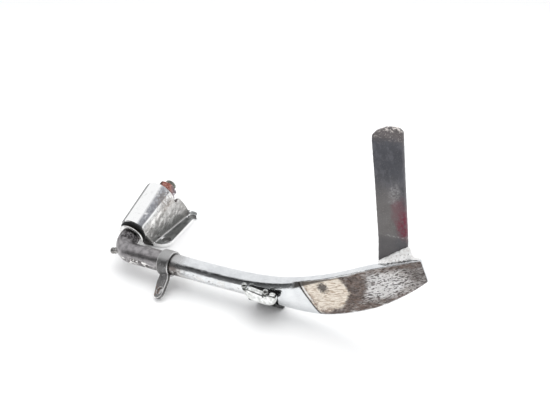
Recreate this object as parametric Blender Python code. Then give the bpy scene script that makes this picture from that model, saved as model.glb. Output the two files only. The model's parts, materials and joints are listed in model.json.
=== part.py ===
"""Motorcycle kickstand: a bolt-on pivot bracket and a swinging leg, as separate solids.

Frame: metres, +Z up. The stand lies at rest with the leg folded: the bracket's mounting face and
the leg's bump stop touch Z = 0, the leg runs along +X, and the origin is under the middle.
The leg turns about the tilted pivot axis, which crosses the leg's own axis at the elbow.
"""

import math

import bmesh
import bpy
from mathutils import Matrix, Vector

MM = 0.001
GAP = 0.3 * MM                    # clearance between touching pieces

# Placing: the datum is a point on the leg's axis by the elbow, given from the stand's middle
DATUM_X = -128.99 * MM
DATUM_Y = -43.87 * MM
DATUM_Z = 19.9 * MM               # height of the leg's axis over the floor
PIVOT_X = -3.0 * MM               # the pivot axis crosses the leg's axis here, from the datum
PIVOT_TILT = math.radians(17.8)   # pivot axis above the mounting face

# Leg bar and elbow
BAR_R = 9.5 * MM                  # 19 mm round bar
BAR_RISE = 0.010                  # the bar climbs 1 mm in 100 mm
BEND_R = 16.5 * MM                # centreline radius of the elbow
ELBOW_TOP = 18.0 * MM             # shoulder under the thrust washer, along the pivot axis
BAR_END = 112.0 * MM              # where the round bar starts to flatten
BLADE_T = 4.8 * MM                # half thickness of the flattened foot

# Pivot stack, heights along the pivot axis
SPIGOT_BOTTOM = 5.0 * MM
SPIGOT_R = 5.6 * MM
POST_R = 7.0 * MM
THREAD_R = 5.9 * MM
PIN_R = 1.9 * MM                  # cross pin that holds the post in the elbow
PIN_HEIGHT = 12.0 * MM
THRUST_WASHER = (18.3 * MM, 20.3 * MM)
WAVE_WASHER = (20.6 * MM, 21.7 * MM)
SEAL = (22.0 * MM, 24.6 * MM)
BARREL = (24.9 * MM, 77.2 * MM)
BARREL_LOW_R = 13.0 * MM
BARREL_HIGH_R = 16.6 * MM
BARREL_LOW_SHIFT = Vector((-1.6, -1.0, 0.0)) * MM   # the casting is a little off the axis of its bore
BARREL_SHIFT = Vector((-1.7, -1.5, 0.0)) * MM       # the same at its top end
BORE_R = 9.6 * MM
BUSH_R = 9.3 * MM
BUSH_BORE_R = 7.05 * MM
LOWER_SLEEVE_TOP = 48.0 * MM
UPPER_SLEEVE_BOTTOM = 54.0 * MM
UPPER_COLLAR = (77.5 * MM, 78.9 * MM)
FLAT_WASHER = (79.2 * MM, 81.2 * MM)
NUT = (81.5 * MM, 88.4 * MM)
NUT_FLATS = 19.0 * MM             # across flats, for a 12 mm thread
POST_TOP = 95.6 * MM

# Bracket
WEB_T = 3.6 * MM                  # each of the two walls
WEB_FRONT = 3.3 * MM              # outer face of the wall on the bolt side
WEB_REAR = -9.3 * MM              # outer face of the wall on the heel side
FLANGE_T = 5.0 * MM
FLANGE_FRONT = 43.0 * MM          # nearest edge of the mounting flange, from the datum
FLANGE_BACK = 118.0 * MM
FLANGE_WIDE = 18.4 * MM           # bolt side, at its widest
FLANGE_NARROW = 12.0 * MM         # bolt side, at the far end
FLANGE_HEEL = 14.5 * MM           # plain lip on the other side of the walls
BOLT_HOLE_R = 4.5 * MM            # clearance for an 8 mm bolt
BOLTS = ((10.8 * MM, 54.5 * MM), (9.4 * MM, 106.0 * MM))

# Grease nipple, distances from the datum outwards along its own axis
NIPPLE_TILT = math.radians(14.0)  # how far the nipple points below the leg's axis
NIPPLE_START = 1.0 * MM
NIPPLE_SHANK_R = 2.6 * MM

# Spring clip round the bar
CLIP_X = (46.3 * MM, 57.8 * MM)
CLIP_T = 2.0 * MM
EAR_T = 3.4 * MM
EAR_W = 13.0 * MM
EAR_LENGTH = 26.6 * MM
EAR_HOLE_R = 3.4 * MM
EAR_ALONG = Vector((0.266, -0.872, -0.4135)).normalized()
EAR_ACROSS = Vector((0.912, 0.012, 0.414)).normalized()

# Kick tab
TAB_W = 20.8 * MM
TAB_T = 5.0 * MM

STUDS = ((137.0 * MM, 30.6 * MM), (156.2 * MM, 30.0 * MM))   # x, height over the floor
STUD_R = 2.6 * MM


# ---------------------------------------------------------------- scene and materials

def clear_scene():
    for item in list(bpy.data.objects):
        bpy.data.objects.remove(item, do_unlink=True)


def material(name, color, metallic, roughness):
    made = bpy.data.materials.new(name)
    made.use_nodes = True
    shader = made.node_tree.nodes["Principled BSDF"]
    shader.inputs["Base Color"].default_value = (*color, 1.0)
    shader.inputs["Metallic"].default_value = metallic
    shader.inputs["Roughness"].default_value = roughness
    made.diffuse_color = (*color, 1.0)
    return made


# ---------------------------------------------------------------- mesh helpers

def add_object(name, bm, parent=None, surface=None):
    """Turn a bmesh into a named object, with outward faces and smooth round sides."""
    bmesh.ops.recalc_face_normals(bm, faces=bm.faces)
    mesh = bpy.data.meshes.new(name)
    bm.to_mesh(mesh)
    bm.free()
    mesh.shade_smooth()
    mesh.set_sharp_from_angle(angle=math.radians(35))
    made = bpy.data.objects.new(name, mesh)
    bpy.context.collection.objects.link(made)
    made.parent = parent
    if surface is not None:
        mesh.materials.append(surface)
    return made


def hidden(tool):
    """Mark an object as a building aid that is left out of the model."""
    tool.hide_render = True
    tool.display_type = "WIRE"
    return tool


def combine(target, tool, operation):
    step = target.modifiers.new(f"{operation.lower()}_{tool.name}", "BOOLEAN")
    step.operation = operation
    step.solver = "EXACT"
    step.object = hidden(tool)


def skin_rings(bm, rings, close_loop=False):
    """Join rings of points into one surface, capped at both ends unless it closes on itself."""
    verts = [[bm.verts.new(point) for point in ring] for ring in rings]
    count = len(verts[0])
    pairs = list(zip(verts, verts[1:]))
    if close_loop:
        pairs.append((verts[-1], verts[0]))
    for low, high in pairs:
        for i in range(count):
            j = (i + 1) % count
            bm.faces.new((low[i], low[j], high[j], high[i]))
    if not close_loop:
        bm.faces.new(list(reversed(verts[0])))
        bm.faces.new(verts[-1])


def turned(name, profile, parent, surface, hollow, segments=48):
    """Turn (radius, height) points round Z. A hollow profile is a closed loop off the axis."""
    bm = bmesh.new()
    rings = []
    for radius, height in profile:
        ring = []
        for i in range(segments):
            angle = math.tau * i / segments
            ring.append(Vector((radius * math.cos(angle), radius * math.sin(angle), height)))
        rings.append(ring)
    skin_rings(bm, rings, close_loop=hollow)
    return add_object(name, bm, parent, surface)


def washer(name, span, outer, inner, parent, surface, edge=0.3 * MM):
    """A flat ring with small chamfers on its outer edges."""
    low, high = span
    profile = [(inner, low), (outer - edge, low), (outer, low + edge),
               (outer, high - edge), (outer - edge, high), (inner, high)]
    return turned(name, profile, parent, surface, hollow=True)


def prism(name, outline, low, high, parent, surface, axes="XY"):
    """Extrude a closed outline. The two letters say which axes the outline's numbers run along."""
    frame = {"X": Vector((1, 0, 0)), "Y": Vector((0, 1, 0)), "Z": Vector((0, 0, 1))}
    first, second = frame[axes[0]], frame[axes[1]]
    third = first.cross(second)
    bm = bmesh.new()
    rings = [[first * a + second * b + third * depth for a, b in outline] for depth in (low, high)]
    skin_rings(bm, rings)
    return add_object(name, bm, parent, surface)


def soften(target, width, segments=2, angle=40.0):
    step = target.modifiers.new("softened_edges", "BEVEL")
    step.width = width
    step.segments = segments
    step.limit_method = "ANGLE"
    step.angle_limit = math.radians(angle)


def arc_points(center, radius, start, end, steps):
    """Points along a circular arc, angles in degrees."""
    points = []
    for i in range(steps + 1):
        angle = math.radians(start + (end - start) * i / steps)
        points.append((center[0] + radius * math.cos(angle), center[1] + radius * math.sin(angle)))
    return points


# ---------------------------------------------------------------- bracket body

def barrel_at(height, inset=0.0):
    """Center and radius of the barrel's outside, in the pivot's frame."""
    part = (height - BARREL[0]) / (BARREL[1] - BARREL[0])
    radius = BARREL_LOW_R + (BARREL_HIGH_R - BARREL_LOW_R) * part + inset
    return BARREL_LOW_SHIFT.lerp(BARREL_SHIFT, part) + Vector((0, 0, height)), radius


def barrel_rings():
    """Tapered round body with chamfered ends, a little off the bore's axis."""
    low, high = BARREL
    edge = 0.8 * MM
    levels = ((low, -edge), (low + edge, 0.0), (high - edge, 0.0), (high, -edge))
    rings = []
    for height, inset in levels:
        center, radius = barrel_at(height, inset)
        rings.append(rounded_ring(center, Vector((radius, 0, 0)), Vector((0, radius, 0)), 2.0, 64))
    return rings


def front_wall(base, surface):
    """Leaning wall that laps the barrel's front and runs down to the flange; its far end has
    a notch and a tooth."""
    floor = -DATUM_Z
    along = Vector((0, math.cos(PIVOT_TILT), math.sin(PIVOT_TILT)))
    down = Vector((0, math.sin(PIVOT_TILT), -math.cos(PIVOT_TILT)))
    seat = floor + FLANGE_T - 0.6 * MM

    def on_barrel(height, degrees, lift):
        center, radius = barrel_at(height)
        angle = math.radians(degrees)
        spot = center + Vector((math.cos(angle), math.sin(angle), 0)) * (radius + lift * MM)
        return (Vector((PIVOT_X, 0, PIVOT_X * BAR_RISE)) + Vector((1, 0, 0)) * spot.x
                + down * spot.y + along * spot.z)

    rings = []
    # Height along the barrel, angles round it of the lapping edge, place on the flange
    for height, angles, foot_y in ((25.0, (-31, -22, -8, 6), 41.8), (38.0, (-31, -22, -8, 6), 52.0),
                                   (51.0, (-31, -22, -8, 6), 62.0), (63.0, (-30, -21, -8, 6), 71.0),
                                   (70.0, (-22, -14, -4, 8), 77.0), (75.4, (-8, -2, 4, 11), 81.0)):
        lifts = (-0.5, 0.5, 0.9, 0.9)
        front = [on_barrel(height * MM, angle, lift) for angle, lift in zip(angles, lifts)]
        foot = Vector((WEB_FRONT, foot_y * MM, seat))
        front += [front[3].lerp(foot, 0.5), foot]
        back = [foot - Vector((WEB_T, 0, 0)), front[4] - Vector((WEB_T, 0, 0)),
                on_barrel(height * MM, angles[3], -2.2), on_barrel(height * MM, angles[0], -2.6)]
        rings.append(front + back)
    # Top edge beyond the barrel (x, y, height over the floor) and the place on the flange below
    for x, y, z, foot_y in ((10.3, 77.0, 36.6, 84.0), (10.1, 80.0, 35.8, 86.0),
                            (10.0, 82.0, 38.2, 88.0), (9.9, 86.2, 36.8, 92.0),
                            (9.0, 92.6, 29.4, 97.0), (7.6, 100.2, 20.0, 103.0),
                            (5.2, 108.4, 8.4, 110.0), (4.2, 113.4, 5.4, 114.6)):
        crest = Vector((x * MM, y * MM, z * MM + floor))
        foot = Vector((WEB_FRONT, foot_y * MM, seat))
        front = [crest.lerp(foot, part) for part in (0.0, 0.07, 0.15, 0.25, 0.6, 1.0)]
        inward = Vector((3.1 * MM, 0, 0))
        back = [foot - Vector((WEB_T, 0, 0)), front[4] - inward, front[3] - inward, crest - inward]
        rings.append(front + back)
    bm = bmesh.new()
    skin_rings(bm, rings)
    bmesh.ops.triangulate(bm, faces=bm.faces)
    bmesh.ops.recalc_face_normals(bm, faces=bm.faces)
    return add_object("bracket_front_wall", bm, base, surface)


def bracket_wall(name, outer, inner, base):
    """One upright wall between the barrel and the flange; its far edge has a notch and a tooth."""
    floor = -DATUM_Z
    top = floor + FLANGE_T
    outline = [(42.0 * MM, 4.0 * MM), (28.5 * MM, 1.0 * MM), (28.8 * MM, -2.6 * MM),
               (42.8 * MM, top - 0.4 * MM), (43.6 * MM, floor + 1.0 * MM),
               (117.0 * MM, floor + 1.0 * MM), (117.0 * MM, top), (105.4 * MM, -2.9 * MM),
               (102.0 * MM, 1.0 * MM), (97.0 * MM, 9.4 * MM), (94.0 * MM, 10.8 * MM),
               (89.6 * MM, 10.4 * MM), (85.6 * MM, 8.4 * MM), (82.0 * MM, 12.0 * MM),
               (60.0 * MM, 12.0 * MM)]
    wall = prism(name, outline, min(outer, inner), max(outer, inner), base, None, axes="YZ")
    soften(wall, 0.6 * MM, angle=60.0)
    return wall


def flange_outline():
    """Rounded bolt side with two holes, and a plain straight heel on the other side."""
    corner = 12.0 * MM
    outline = [(-FLANGE_HEEL, FLANGE_FRONT + 5.0 * MM), (-FLANGE_HEEL + 5.0 * MM, FLANGE_FRONT)]
    outline += arc_points((FLANGE_WIDE - corner, FLANGE_FRONT + corner + 1.0 * MM), corner,
                          -90.0, 0.0, 8)
    outline += arc_points((FLANGE_NARROW - 6.5 * MM, FLANGE_BACK - 7.0 * MM), 7.0 * MM, 8.0, 90.0, 6)
    outline += [(-FLANGE_HEEL + 5.0 * MM, FLANGE_BACK), (-FLANGE_HEEL, FLANGE_BACK - 5.0 * MM)]
    return outline


def mounting_bracket(base, pivot, surface):
    """Cast bracket: tilted barrel on two walls and a flat bolting flange."""
    bm = bmesh.new()
    skin_rings(bm, barrel_rings())
    bracket = add_object("mounting_bracket", bm, pivot, surface)
    combine(bracket, front_wall(base, None), "UNION")
    combine(bracket, bracket_wall("bracket_rear_wall", WEB_REAR, WEB_REAR + WEB_T, base), "UNION")

    floor = -DATUM_Z
    top = floor + FLANGE_T
    flange = prism("bracket_flange", flange_outline(), floor, top, base, None)
    soften(flange, 0.6 * MM)
    combine(bracket, flange, "UNION")

    low, high = BARREL
    bore = turned("bracket_bore", [(BORE_R, low - 5 * MM), (BORE_R, high + 5 * MM)],
                  pivot, None, hollow=False)
    combine(bracket, bore, "DIFFERENCE")
    for number, (x, y) in enumerate(BOLTS, start=1):
        hole = turned(f"bracket_bolt_hole_{number}",
                      [(BOLT_HOLE_R, floor - 5 * MM), (BOLT_HOLE_R, top + 3 * MM)],
                      base, None, hollow=False, segments=32)
        hole.location = (x, y, 0.0)
        combine(bracket, hole, "DIFFERENCE")
    return bracket


def bushes(pivot, surface):
    """Flanged bearing bushes pressed into both ends of the barrel."""
    collar_r = 11.0 * MM
    lower = [(BUSH_BORE_R, SEAL[0]), (collar_r, SEAL[0]), (collar_r, SEAL[1]), (BUSH_R, SEAL[1]),
             (BUSH_R, LOWER_SLEEVE_TOP), (BUSH_BORE_R, LOWER_SLEEVE_TOP)]
    turned("lower_bush", lower, pivot, surface, hollow=True)
    collar_r = 11.6 * MM
    upper = [(BUSH_BORE_R, UPPER_SLEEVE_BOTTOM), (BUSH_R, UPPER_SLEEVE_BOTTOM),
             (BUSH_R, UPPER_COLLAR[0]), (collar_r, UPPER_COLLAR[0]), (collar_r, UPPER_COLLAR[1]),
             (BUSH_BORE_R, UPPER_COLLAR[1])]
    turned("upper_bush", upper, pivot, surface, hollow=True)


def dust_seal(pivot, surface):
    """Rubber ring round the lower bush's collar, with a lip bulging over the barrel's end."""
    low, high = SEAL
    middle = (low + high) / 2
    profile = [(11.3 * MM, low), (12.9 * MM, low), (13.5 * MM, low + 0.7 * MM), (13.7 * MM, middle),
               (13.5 * MM, high - 0.7 * MM), (12.9 * MM, high), (11.3 * MM, high)]
    turned("dust_seal", profile, pivot, surface, hollow=True)


# ---------------------------------------------------------------- leg body

def rounded_ring(center, across, up, exponent, segments=40):
    """A superellipse: round at exponent 2, a rounded bar section at higher ones."""
    ring = []
    for i in range(segments):
        angle = math.tau * i / segments
        c, s = math.cos(angle), math.sin(angle)
        x = math.copysign(abs(c) ** (2 / exponent), c)
        y = math.copysign(abs(s) ** (2 / exponent), s)
        ring.append(center + across * x + up * y)
    return ring


def elbow_rings():
    """Rings from the shoulder down the pivot axis, round the bend and onto the leg's axis."""
    along = Vector((0, math.cos(PIVOT_TILT), math.sin(PIVOT_TILT)))
    aside = Vector((0, math.sin(PIVOT_TILT), -math.cos(PIVOT_TILT)))
    leg = Vector((1, 0, BAR_RISE)).normalized()
    foot = leg * PIVOT_X
    rings = []

    def ring_at(center, turn, radius):
        inward = along * math.cos(turn) + leg * math.sin(turn)
        across = inward * math.cos(PIVOT_TILT) + aside * math.sin(PIVOT_TILT)
        up = inward * math.sin(PIVOT_TILT) - aside * math.cos(PIVOT_TILT)
        rings.append(rounded_ring(foot + center, across * radius, up * radius, 2.0))

    ring_at(along * ELBOW_TOP, math.pi / 2, BAR_R - 0.6 * MM)
    ring_at(along * (ELBOW_TOP - 0.6 * MM), math.pi / 2, BAR_R)
    middle = along * BEND_R + leg * BEND_R
    steps = 10
    for i in range(steps + 1):
        turn = math.pi / 2 * (1 - i / steps)
        center = middle - along * (BEND_R * math.cos(turn)) - leg * (BEND_R * math.sin(turn))
        ring_at(center, turn, BAR_R)
    ring_at(leg * (BAR_END - PIVOT_X), 0.0, BAR_R)
    return rings


# The flattening foot: top edge (x, z), bottom edge (x, z), half thickness, squareness, in mm
# measured from the elbow, with z from the floor
FOOT_FRONT = 4.8 * MM              # the front face of the flat foot, from the leg's middle plane
FOOT_STATIONS = (
    ((129, 31.4), (130, 11.9), 9.5, 2.0),
    ((146, 33.1), (149, 11.4), 9.2, 2.1),
    ((161, 35.7), (167, 10.9), 8.6, 2.3),
    ((176, 39.8), (184, 11.2), 7.6, 2.7),
    ((190, 45.0), (200, 13.2), 6.4, 3.4),
    ((203, 50.4), (215, 17.9), 5.4, 4.6),
    ((218, 58.0), (231, 25.8), 4.8, 6.5),
    ((233, 66.3), (246, 35.2), 4.8, 8.0),
    ((247, 73.4), (260, 47.2), 4.6, 8.0),
    ((260, 79.7), (271, 58.8), 3.6, 8.0),
    ((271.9, 84.9), (279.2, 69.0), 2.3, 8.0),
)


def foot_rings():
    """Cross sections of the foot; near the end its front face stays plane and its back slopes."""
    rings = []
    for top, bottom, half_thickness, squareness in FOOT_STATIONS:
        high = Vector((top[0] * MM, 0, top[1] * MM - DATUM_Z))
        low = Vector((bottom[0] * MM, 0, bottom[1] * MM - DATUM_Z))
        across = Vector((0, half_thickness * MM, 0))
        center = (high + low) / 2 - Vector((0, FOOT_FRONT - across.y, 0)) * (top[0] > 230)
        rings.append(rounded_ring(center, across, (high - low) / 2, squareness))
    return rings


def smooth_rings(rings, steps):
    """Put extra rings between the given ones, along a smooth curve through them."""
    filled = [rings[0]]
    last = len(rings) - 1
    for i in range(last):
        before, start = rings[max(i - 1, 0)], rings[i]
        end, after = rings[i + 1], rings[min(i + 2, last)]
        for step in range(1, steps + 1):
            t = step / steps
            ring = []
            for a, b, c, d in zip(before, start, end, after):
                point = (b * 2 + (c - a) * t + (a * 2 - b * 5 + c * 4 - d) * t * t
                         + (b * 3 - a - c * 3 + d) * t * t * t) * 0.5
                ring.append(point)
            filled.append(ring)
    return filled


def leg(base, pivot, seat, surface):
    """Forged leg: elbow, round bar and flattened, upturned foot."""
    rings = elbow_rings() + smooth_rings(foot_rings(), 2)
    bm = bmesh.new()
    skin_rings(bm, rings)
    forging = add_object("leg", bm, base, surface)

    socket = turned("leg_post_socket",
                    [(SPIGOT_R + GAP, SPIGOT_BOTTOM - GAP), (SPIGOT_R + GAP, ELBOW_TOP + 5 * MM)],
                    pivot, None, hollow=False)
    combine(forging, socket, "DIFFERENCE")
    nipple_r = NIPPLE_SHANK_R + GAP
    drilling = turned("leg_nipple_hole", [(nipple_r, NIPPLE_START - GAP), (nipple_r, 30.0 * MM)],
                      seat, None, hollow=False, segments=32)
    combine(forging, drilling, "DIFFERENCE")
    combine(forging, pin_hole("leg_pin_hole", pivot), "DIFFERENCE")
    return forging


def pin_hole(name, pivot):
    """Cutter for the cross pin, square to the pivot axis."""
    hole = turned(name, [(PIN_R + GAP, -8.9 * MM), (PIN_R + GAP, 8.9 * MM)], pivot, None,
                  hollow=False, segments=24)
    hole.rotation_euler = (math.radians(90), 0, 0)
    hole.location = (0, 0, PIN_HEIGHT)
    return hole


def cross_pin(pivot, surface):
    """Pin driven through the elbow and the post's spigot."""
    half = 8.6 * MM
    edge = 0.4 * MM
    profile = [(PIN_R - edge, -half), (PIN_R, -half + edge), (PIN_R, half - edge), (PIN_R - edge, half)]
    pin = turned("post_pin", profile, pivot, surface, hollow=False, segments=24)
    pin.rotation_euler = (math.radians(90), 0, 0)
    pin.location = (0, 0, PIN_HEIGHT)


def pivot_post(pivot, surface):
    """Steel post pressed into the elbow, with a plain bearing length and a threaded end."""
    edge = 1.0 * MM
    profile = [(SPIGOT_R - edge, SPIGOT_BOTTOM), (SPIGOT_R, SPIGOT_BOTTOM + edge),
               (SPIGOT_R, ELBOW_TOP + GAP), (POST_R - 0.05 * MM, ELBOW_TOP + GAP),
               (POST_R - 0.05 * MM, UPPER_COLLAR[1] - edge), (THREAD_R, UPPER_COLLAR[1]),
               (THREAD_R, POST_TOP - edge), (THREAD_R - edge, POST_TOP)]
    post = turned("pivot_post", profile, pivot, surface, hollow=False)
    combine(post, pin_hole("post_pin_hole", pivot), "DIFFERENCE")


def hex_nut(pivot, surface):
    """Plain hexagon nut with chamfered corners."""
    low, high = NUT
    corner = NUT_FLATS / 2 / math.cos(math.radians(30))
    outline = [(corner * math.cos(math.radians(60 * i + 12)),
                corner * math.sin(math.radians(60 * i + 12))) for i in range(6)]
    nut = prism("pivot_nut", outline, low, high, pivot, surface)
    flank = 1.6 * MM
    cone = turned("nut_chamfer",
                  [(corner - flank, low - 0.1 * MM), (corner + 0.1 * MM, low + 0.9 * MM),
                   (corner + 0.1 * MM, high - 0.9 * MM), (corner - flank, high + 0.1 * MM)],
                  pivot, None, hollow=False)
    combine(nut, cone, "INTERSECT")
    bore = turned("nut_bore", [(THREAD_R + GAP, low - 2 * MM), (THREAD_R + GAP, high + 2 * MM)],
                  pivot, None, hollow=False)
    combine(nut, bore, "DIFFERENCE")


def wave_washer(pivot, surface):
    """Thin washer pressed into four waves, which takes up the end play."""
    low, high = WAVE_WASHER
    inner, outer = POST_R + 0.5 * MM, 10.6 * MM
    thickness = 0.5 * MM
    swing = (high - low - thickness) / 2
    middle = (low + high) / 2
    steps = 48
    bm = bmesh.new()
    rings = []
    for i in range(steps):
        angle = math.tau * i / steps
        center = middle + swing * math.sin(4 * angle)
        out = Vector((math.cos(angle), math.sin(angle), 0))
        rings.append([out * radius + Vector((0, 0, center + side * thickness / 2))
                      for radius, side in ((inner, -1), (outer, -1), (outer, 1), (inner, 1))])
    skin_rings(bm, rings, close_loop=True)
    add_object("wave_washer", bm, pivot, surface)


def spring_clip(base, surface):
    """Strap round the bar with an ear below it, drilled for a return spring's hook."""
    low, high = CLIP_X
    center = (low + high) / 2
    inner = BAR_R + GAP
    outer = inner + CLIP_T
    band = turned("spring_clip",
                  [(inner, low), (outer - 0.5 * MM, low), (outer, low + 0.5 * MM),
                   (outer, high - 0.5 * MM), (outer - 0.5 * MM, high), (inner, high)],
                  base, surface, hollow=True, segments=56)
    along_bar = math.radians(90) - math.atan(BAR_RISE)
    band.rotation_euler = (0, along_bar, 0)

    normal = EAR_ACROSS.cross(EAR_ALONG).normalized()
    half = EAR_W / 2
    tip_r = 5.2 * MM
    sides = [(-half * 0.86, -3.0 * MM), (-half * 0.86, 4.0 * MM), (-half, 9.0 * MM)]
    tip = arc_points((0.0, EAR_LENGTH - tip_r), tip_r, 165.0, 15.0, 10)
    outline = sides + tip + [(-x, y) for x, y in reversed(sides)]
    ear = prism("clip_ear", outline, -EAR_T / 2, EAR_T / 2, base, None)
    root = Vector((center + 0.5 * MM, -6.4 * MM, center * BAR_RISE - 6.27 * MM))
    place = Matrix((EAR_ACROSS, EAR_ALONG, normal)).transposed().to_4x4()
    place.translation = root
    ear.matrix_local = place
    soften(ear, 0.5 * MM)
    clear = turned("clip_bar_clearance", [(inner + 0.6 * MM, low - 12 * MM),
                                          (inner + 0.6 * MM, high + 12 * MM)],
                   base, None, hollow=False, segments=56)
    clear.rotation_euler = (0, along_bar, 0)
    combine(ear, clear, "DIFFERENCE")
    combine(band, ear, "UNION")

    hole = turned("clip_spring_hole", [(EAR_HOLE_R, -4 * MM), (EAR_HOLE_R, 4 * MM)],
                  base, None, hollow=False, segments=32)
    hole_place = place.copy()
    hole_place.translation = root + EAR_ALONG * (EAR_LENGTH - tip_r - 2.0 * MM)
    hole.matrix_local = hole_place
    combine(band, hole, "DIFFERENCE")
    return band


def kick_tab(base, surface):
    """Flat bar standing on the back of the foot, bent forward a little above the weld."""
    back = BLADE_T + GAP
    floor = -DATUM_Z
    half = TAB_W / 2
    centers = (
        (Vector((253.7 * MM, back, 52.0 * MM + floor)), 0.92),
        (Vector((250.8 * MM, back, 72.0 * MM + floor)), 1.03),
        (Vector((249.2 * MM, back, 90.0 * MM + floor)), 1.03),
        (Vector((243.7 * MM, back - 6.5 * MM, 138.0 * MM + floor)), 1.0),
        (Vector((240.1 * MM, back - 10.7 * MM, 169.0 * MM + floor)), 1.0),
        (Vector((239.7 * MM, back - 11.2 * MM, 173.6 * MM + floor)), 0.99),
        (Vector((240.6 * MM, back - 11.7 * MM, 176.6 * MM + floor)), 0.85),
        (Vector((241.4 * MM, back - 12.0 * MM, 178.8 * MM + floor)), 0.54),
        (Vector((241.8 * MM, back - 12.1 * MM, 179.8 * MM + floor)), 0.22),
    )
    across = Vector((1.0, 0.0, 0.10)).normalized()
    bm = bmesh.new()
    rings = []
    for center, width in centers:
        front = [center - across * half * width, center + across * half * width]
        thick = Vector((0, TAB_T, 0))
        rings.append([front[0], front[1], front[1] + thick, front[0] + thick])
    skin_rings(bm, rings)
    tab = add_object("kick_tab", bm, base, surface)
    soften(tab, 0.5 * MM, angle=50.0)
    return tab


def tab_weld(base, surface):
    """Weld filling the corner between the foot's top edge and the tab; it grows to the right."""
    floor = -DATUM_Z
    # x, underside z, crest z, front y
    sections = (
        (241.6, 71.1, 72.6, 1.9), (243.4, 72.0, 74.4, 0.6), (245.3, 72.9, 76.1, 0.2),
        (247.2, 73.8, 77.3, -0.7), (249.0, 74.7, 79.2, -0.4), (251.0, 75.7, 81.0, -1.2),
        (253.0, 76.7, 82.9, -0.9), (255.0, 77.6, 84.3, -1.6), (257.0, 78.6, 86.3, -1.2),
        (259.0, 79.6, 87.5, -1.8), (260.8, 80.4, 88.7, -1.3), (262.2, 81.0, 87.9, -1.6),
        (263.4, 81.6, 85.6, -0.6), (264.2, 82.0, 83.6, 0.6),
    )
    back = BLADE_T - 0.1 * MM
    bm = bmesh.new()
    rings = []
    for x, low, crest, front in sections:
        x, low, crest, front = x * MM, low * MM + floor, crest * MM + floor, front * MM
        tall, deep = crest - low, back - front
        shape = ((0.0, 0.0), (0.5, 0.0), (0.93, 0.0), (1.0, 0.12), (0.96, 0.30), (0.72, 0.52),
                 (0.42, 0.76), (0.18, 0.97), (0.0, 1.0), (0.0, 0.5))
        rings.append([Vector((x, back - deep * y, low + tall * z)) for y, z in shape])
    skin_rings(bm, rings)
    return add_object("kick_tab_weld", bm, base, surface)


def bump_stop(base, surface):
    """Rubber block wrapped round the front and underside of the bar; the folded leg lies on it."""
    floor = -DATUM_Z
    outer = [(-9.6, 28.8), (-12.0, 27.4), (-12.2, 15.2), (-7.5, 11.3), (0.0, 4.9), (5.2, 0.6),
             (5.8, 0.0), (9.2, 0.0), (10.0, 1.0), (8.8, 12.6)]
    inner = []
    for degrees in range(-40, -191, -10):
        angle = math.radians(degrees)
        inner.append((9.9 * math.cos(angle), 22.6 + 12.0 * math.sin(angle)))
    outline = [(y * MM, z * MM + floor) for y, z in outer + inner]
    block = prism("bump_stop", outline, 138.6 * MM, 163.4 * MM, base, surface, axes="YZ")
    return block


def keeper_plate(base, surface):
    """Bean-shaped chromed plate that clamps the rubber to the front of the bar."""
    outline = [(135.3, 28.2), (137.6, 24.2), (140.4, 21.0), (143.6, 19.2), (148.0, 18.6),
               (154.0, 18.4), (159.4, 18.6), (162.6, 19.6), (164.7, 21.6), (165.6, 24.2),
               (165.4, 26.8), (164.0, 28.8), (161.6, 29.3), (158.8, 28.6), (154.0, 28.2),
               (149.0, 28.6), (144.4, 29.2), (139.8, 29.6), (136.6, 29.6)]
    outline = [(x * MM, z * MM - DATUM_Z) for x, z in outline]
    plate = prism("keeper_plate", outline, -2.2 * MM, 2.2 * MM, base, surface)
    soften(plate, 0.9 * MM)
    plate.location = (0, -14.8 * MM, 0)
    plate.rotation_euler = (math.radians(90), 0, 0)
    for number, (x, z) in enumerate(STUDS, start=1):
        seat = turned(f"stud_seat_{number}", [(STUD_R + GAP, -4 * MM), (STUD_R + GAP, 4 * MM)],
                      base, None, hollow=False, segments=32)
        seat.location = (x, -14.8 * MM, z - DATUM_Z)
        seat.rotation_euler = (math.radians(90), 0, 0)
        combine(plate, seat, "DIFFERENCE")
    return plate


def ball_stud(name, place, base, surface):
    """Ball-headed rivet: the ball stands in front of the rubber, its shank runs back into it."""
    bm = bmesh.new()
    bmesh.ops.create_uvsphere(bm, u_segments=24, v_segments=14, radius=STUD_R)
    ball = add_object(name, bm, base, surface)
    ball.location = (place[0], -14.9 * MM, place[1] - DATUM_Z)
    return ball


def grease_nipple(seat, surface, ball_surface, spring_surface):
    """Grease nipple in the end of the elbow, with its check ball and spring."""
    shank, bore, mouth = NIPPLE_SHANK_R, 1.6 * MM, 0.7 * MM
    profile = [(bore, NIPPLE_START), (shank, NIPPLE_START), (shank, 7.9 * MM), (3.0 * MM, 8.1 * MM),
               (3.0 * MM, 8.7 * MM), (2.3 * MM, 9.0 * MM), (2.2 * MM, 10.1 * MM),
               (3.1 * MM, 11.1 * MM), (3.1 * MM, 12.1 * MM), (2.0 * MM, 13.3 * MM),
               (mouth, 13.5 * MM), (mouth, 12.6 * MM), (bore, 11.6 * MM)]
    turned("grease_nipple", profile, seat, surface, hollow=True, segments=32)

    ball_r = 1.25 * MM
    ball_height = 10.7 * MM
    bm = bmesh.new()
    bmesh.ops.create_uvsphere(bm, u_segments=20, v_segments=12, radius=ball_r)
    ball = add_object("nipple_ball", bm, seat, ball_surface)
    ball.location = (0, 0, ball_height)

    bm = bmesh.new()
    rings = []
    turns, per_turn = 4, 16
    wire, coil_r = 0.25 * MM, 1.05 * MM
    low, high = NIPPLE_START + 0.4 * MM, ball_height - ball_r - 0.45 * MM
    for i in range(turns * per_turn + 1):
        angle = math.tau * i / per_turn
        height = low + (high - low) * i / (turns * per_turn)
        out = Vector((math.cos(angle), math.sin(angle), 0))
        rings.append(rounded_ring(out * coil_r + Vector((0, 0, height)), out * wire,
                                  Vector((0, 0, wire)), 2.0, 8))
    skin_rings(bm, rings)
    add_object("nipple_spring", bm, seat, spring_surface)


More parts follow.
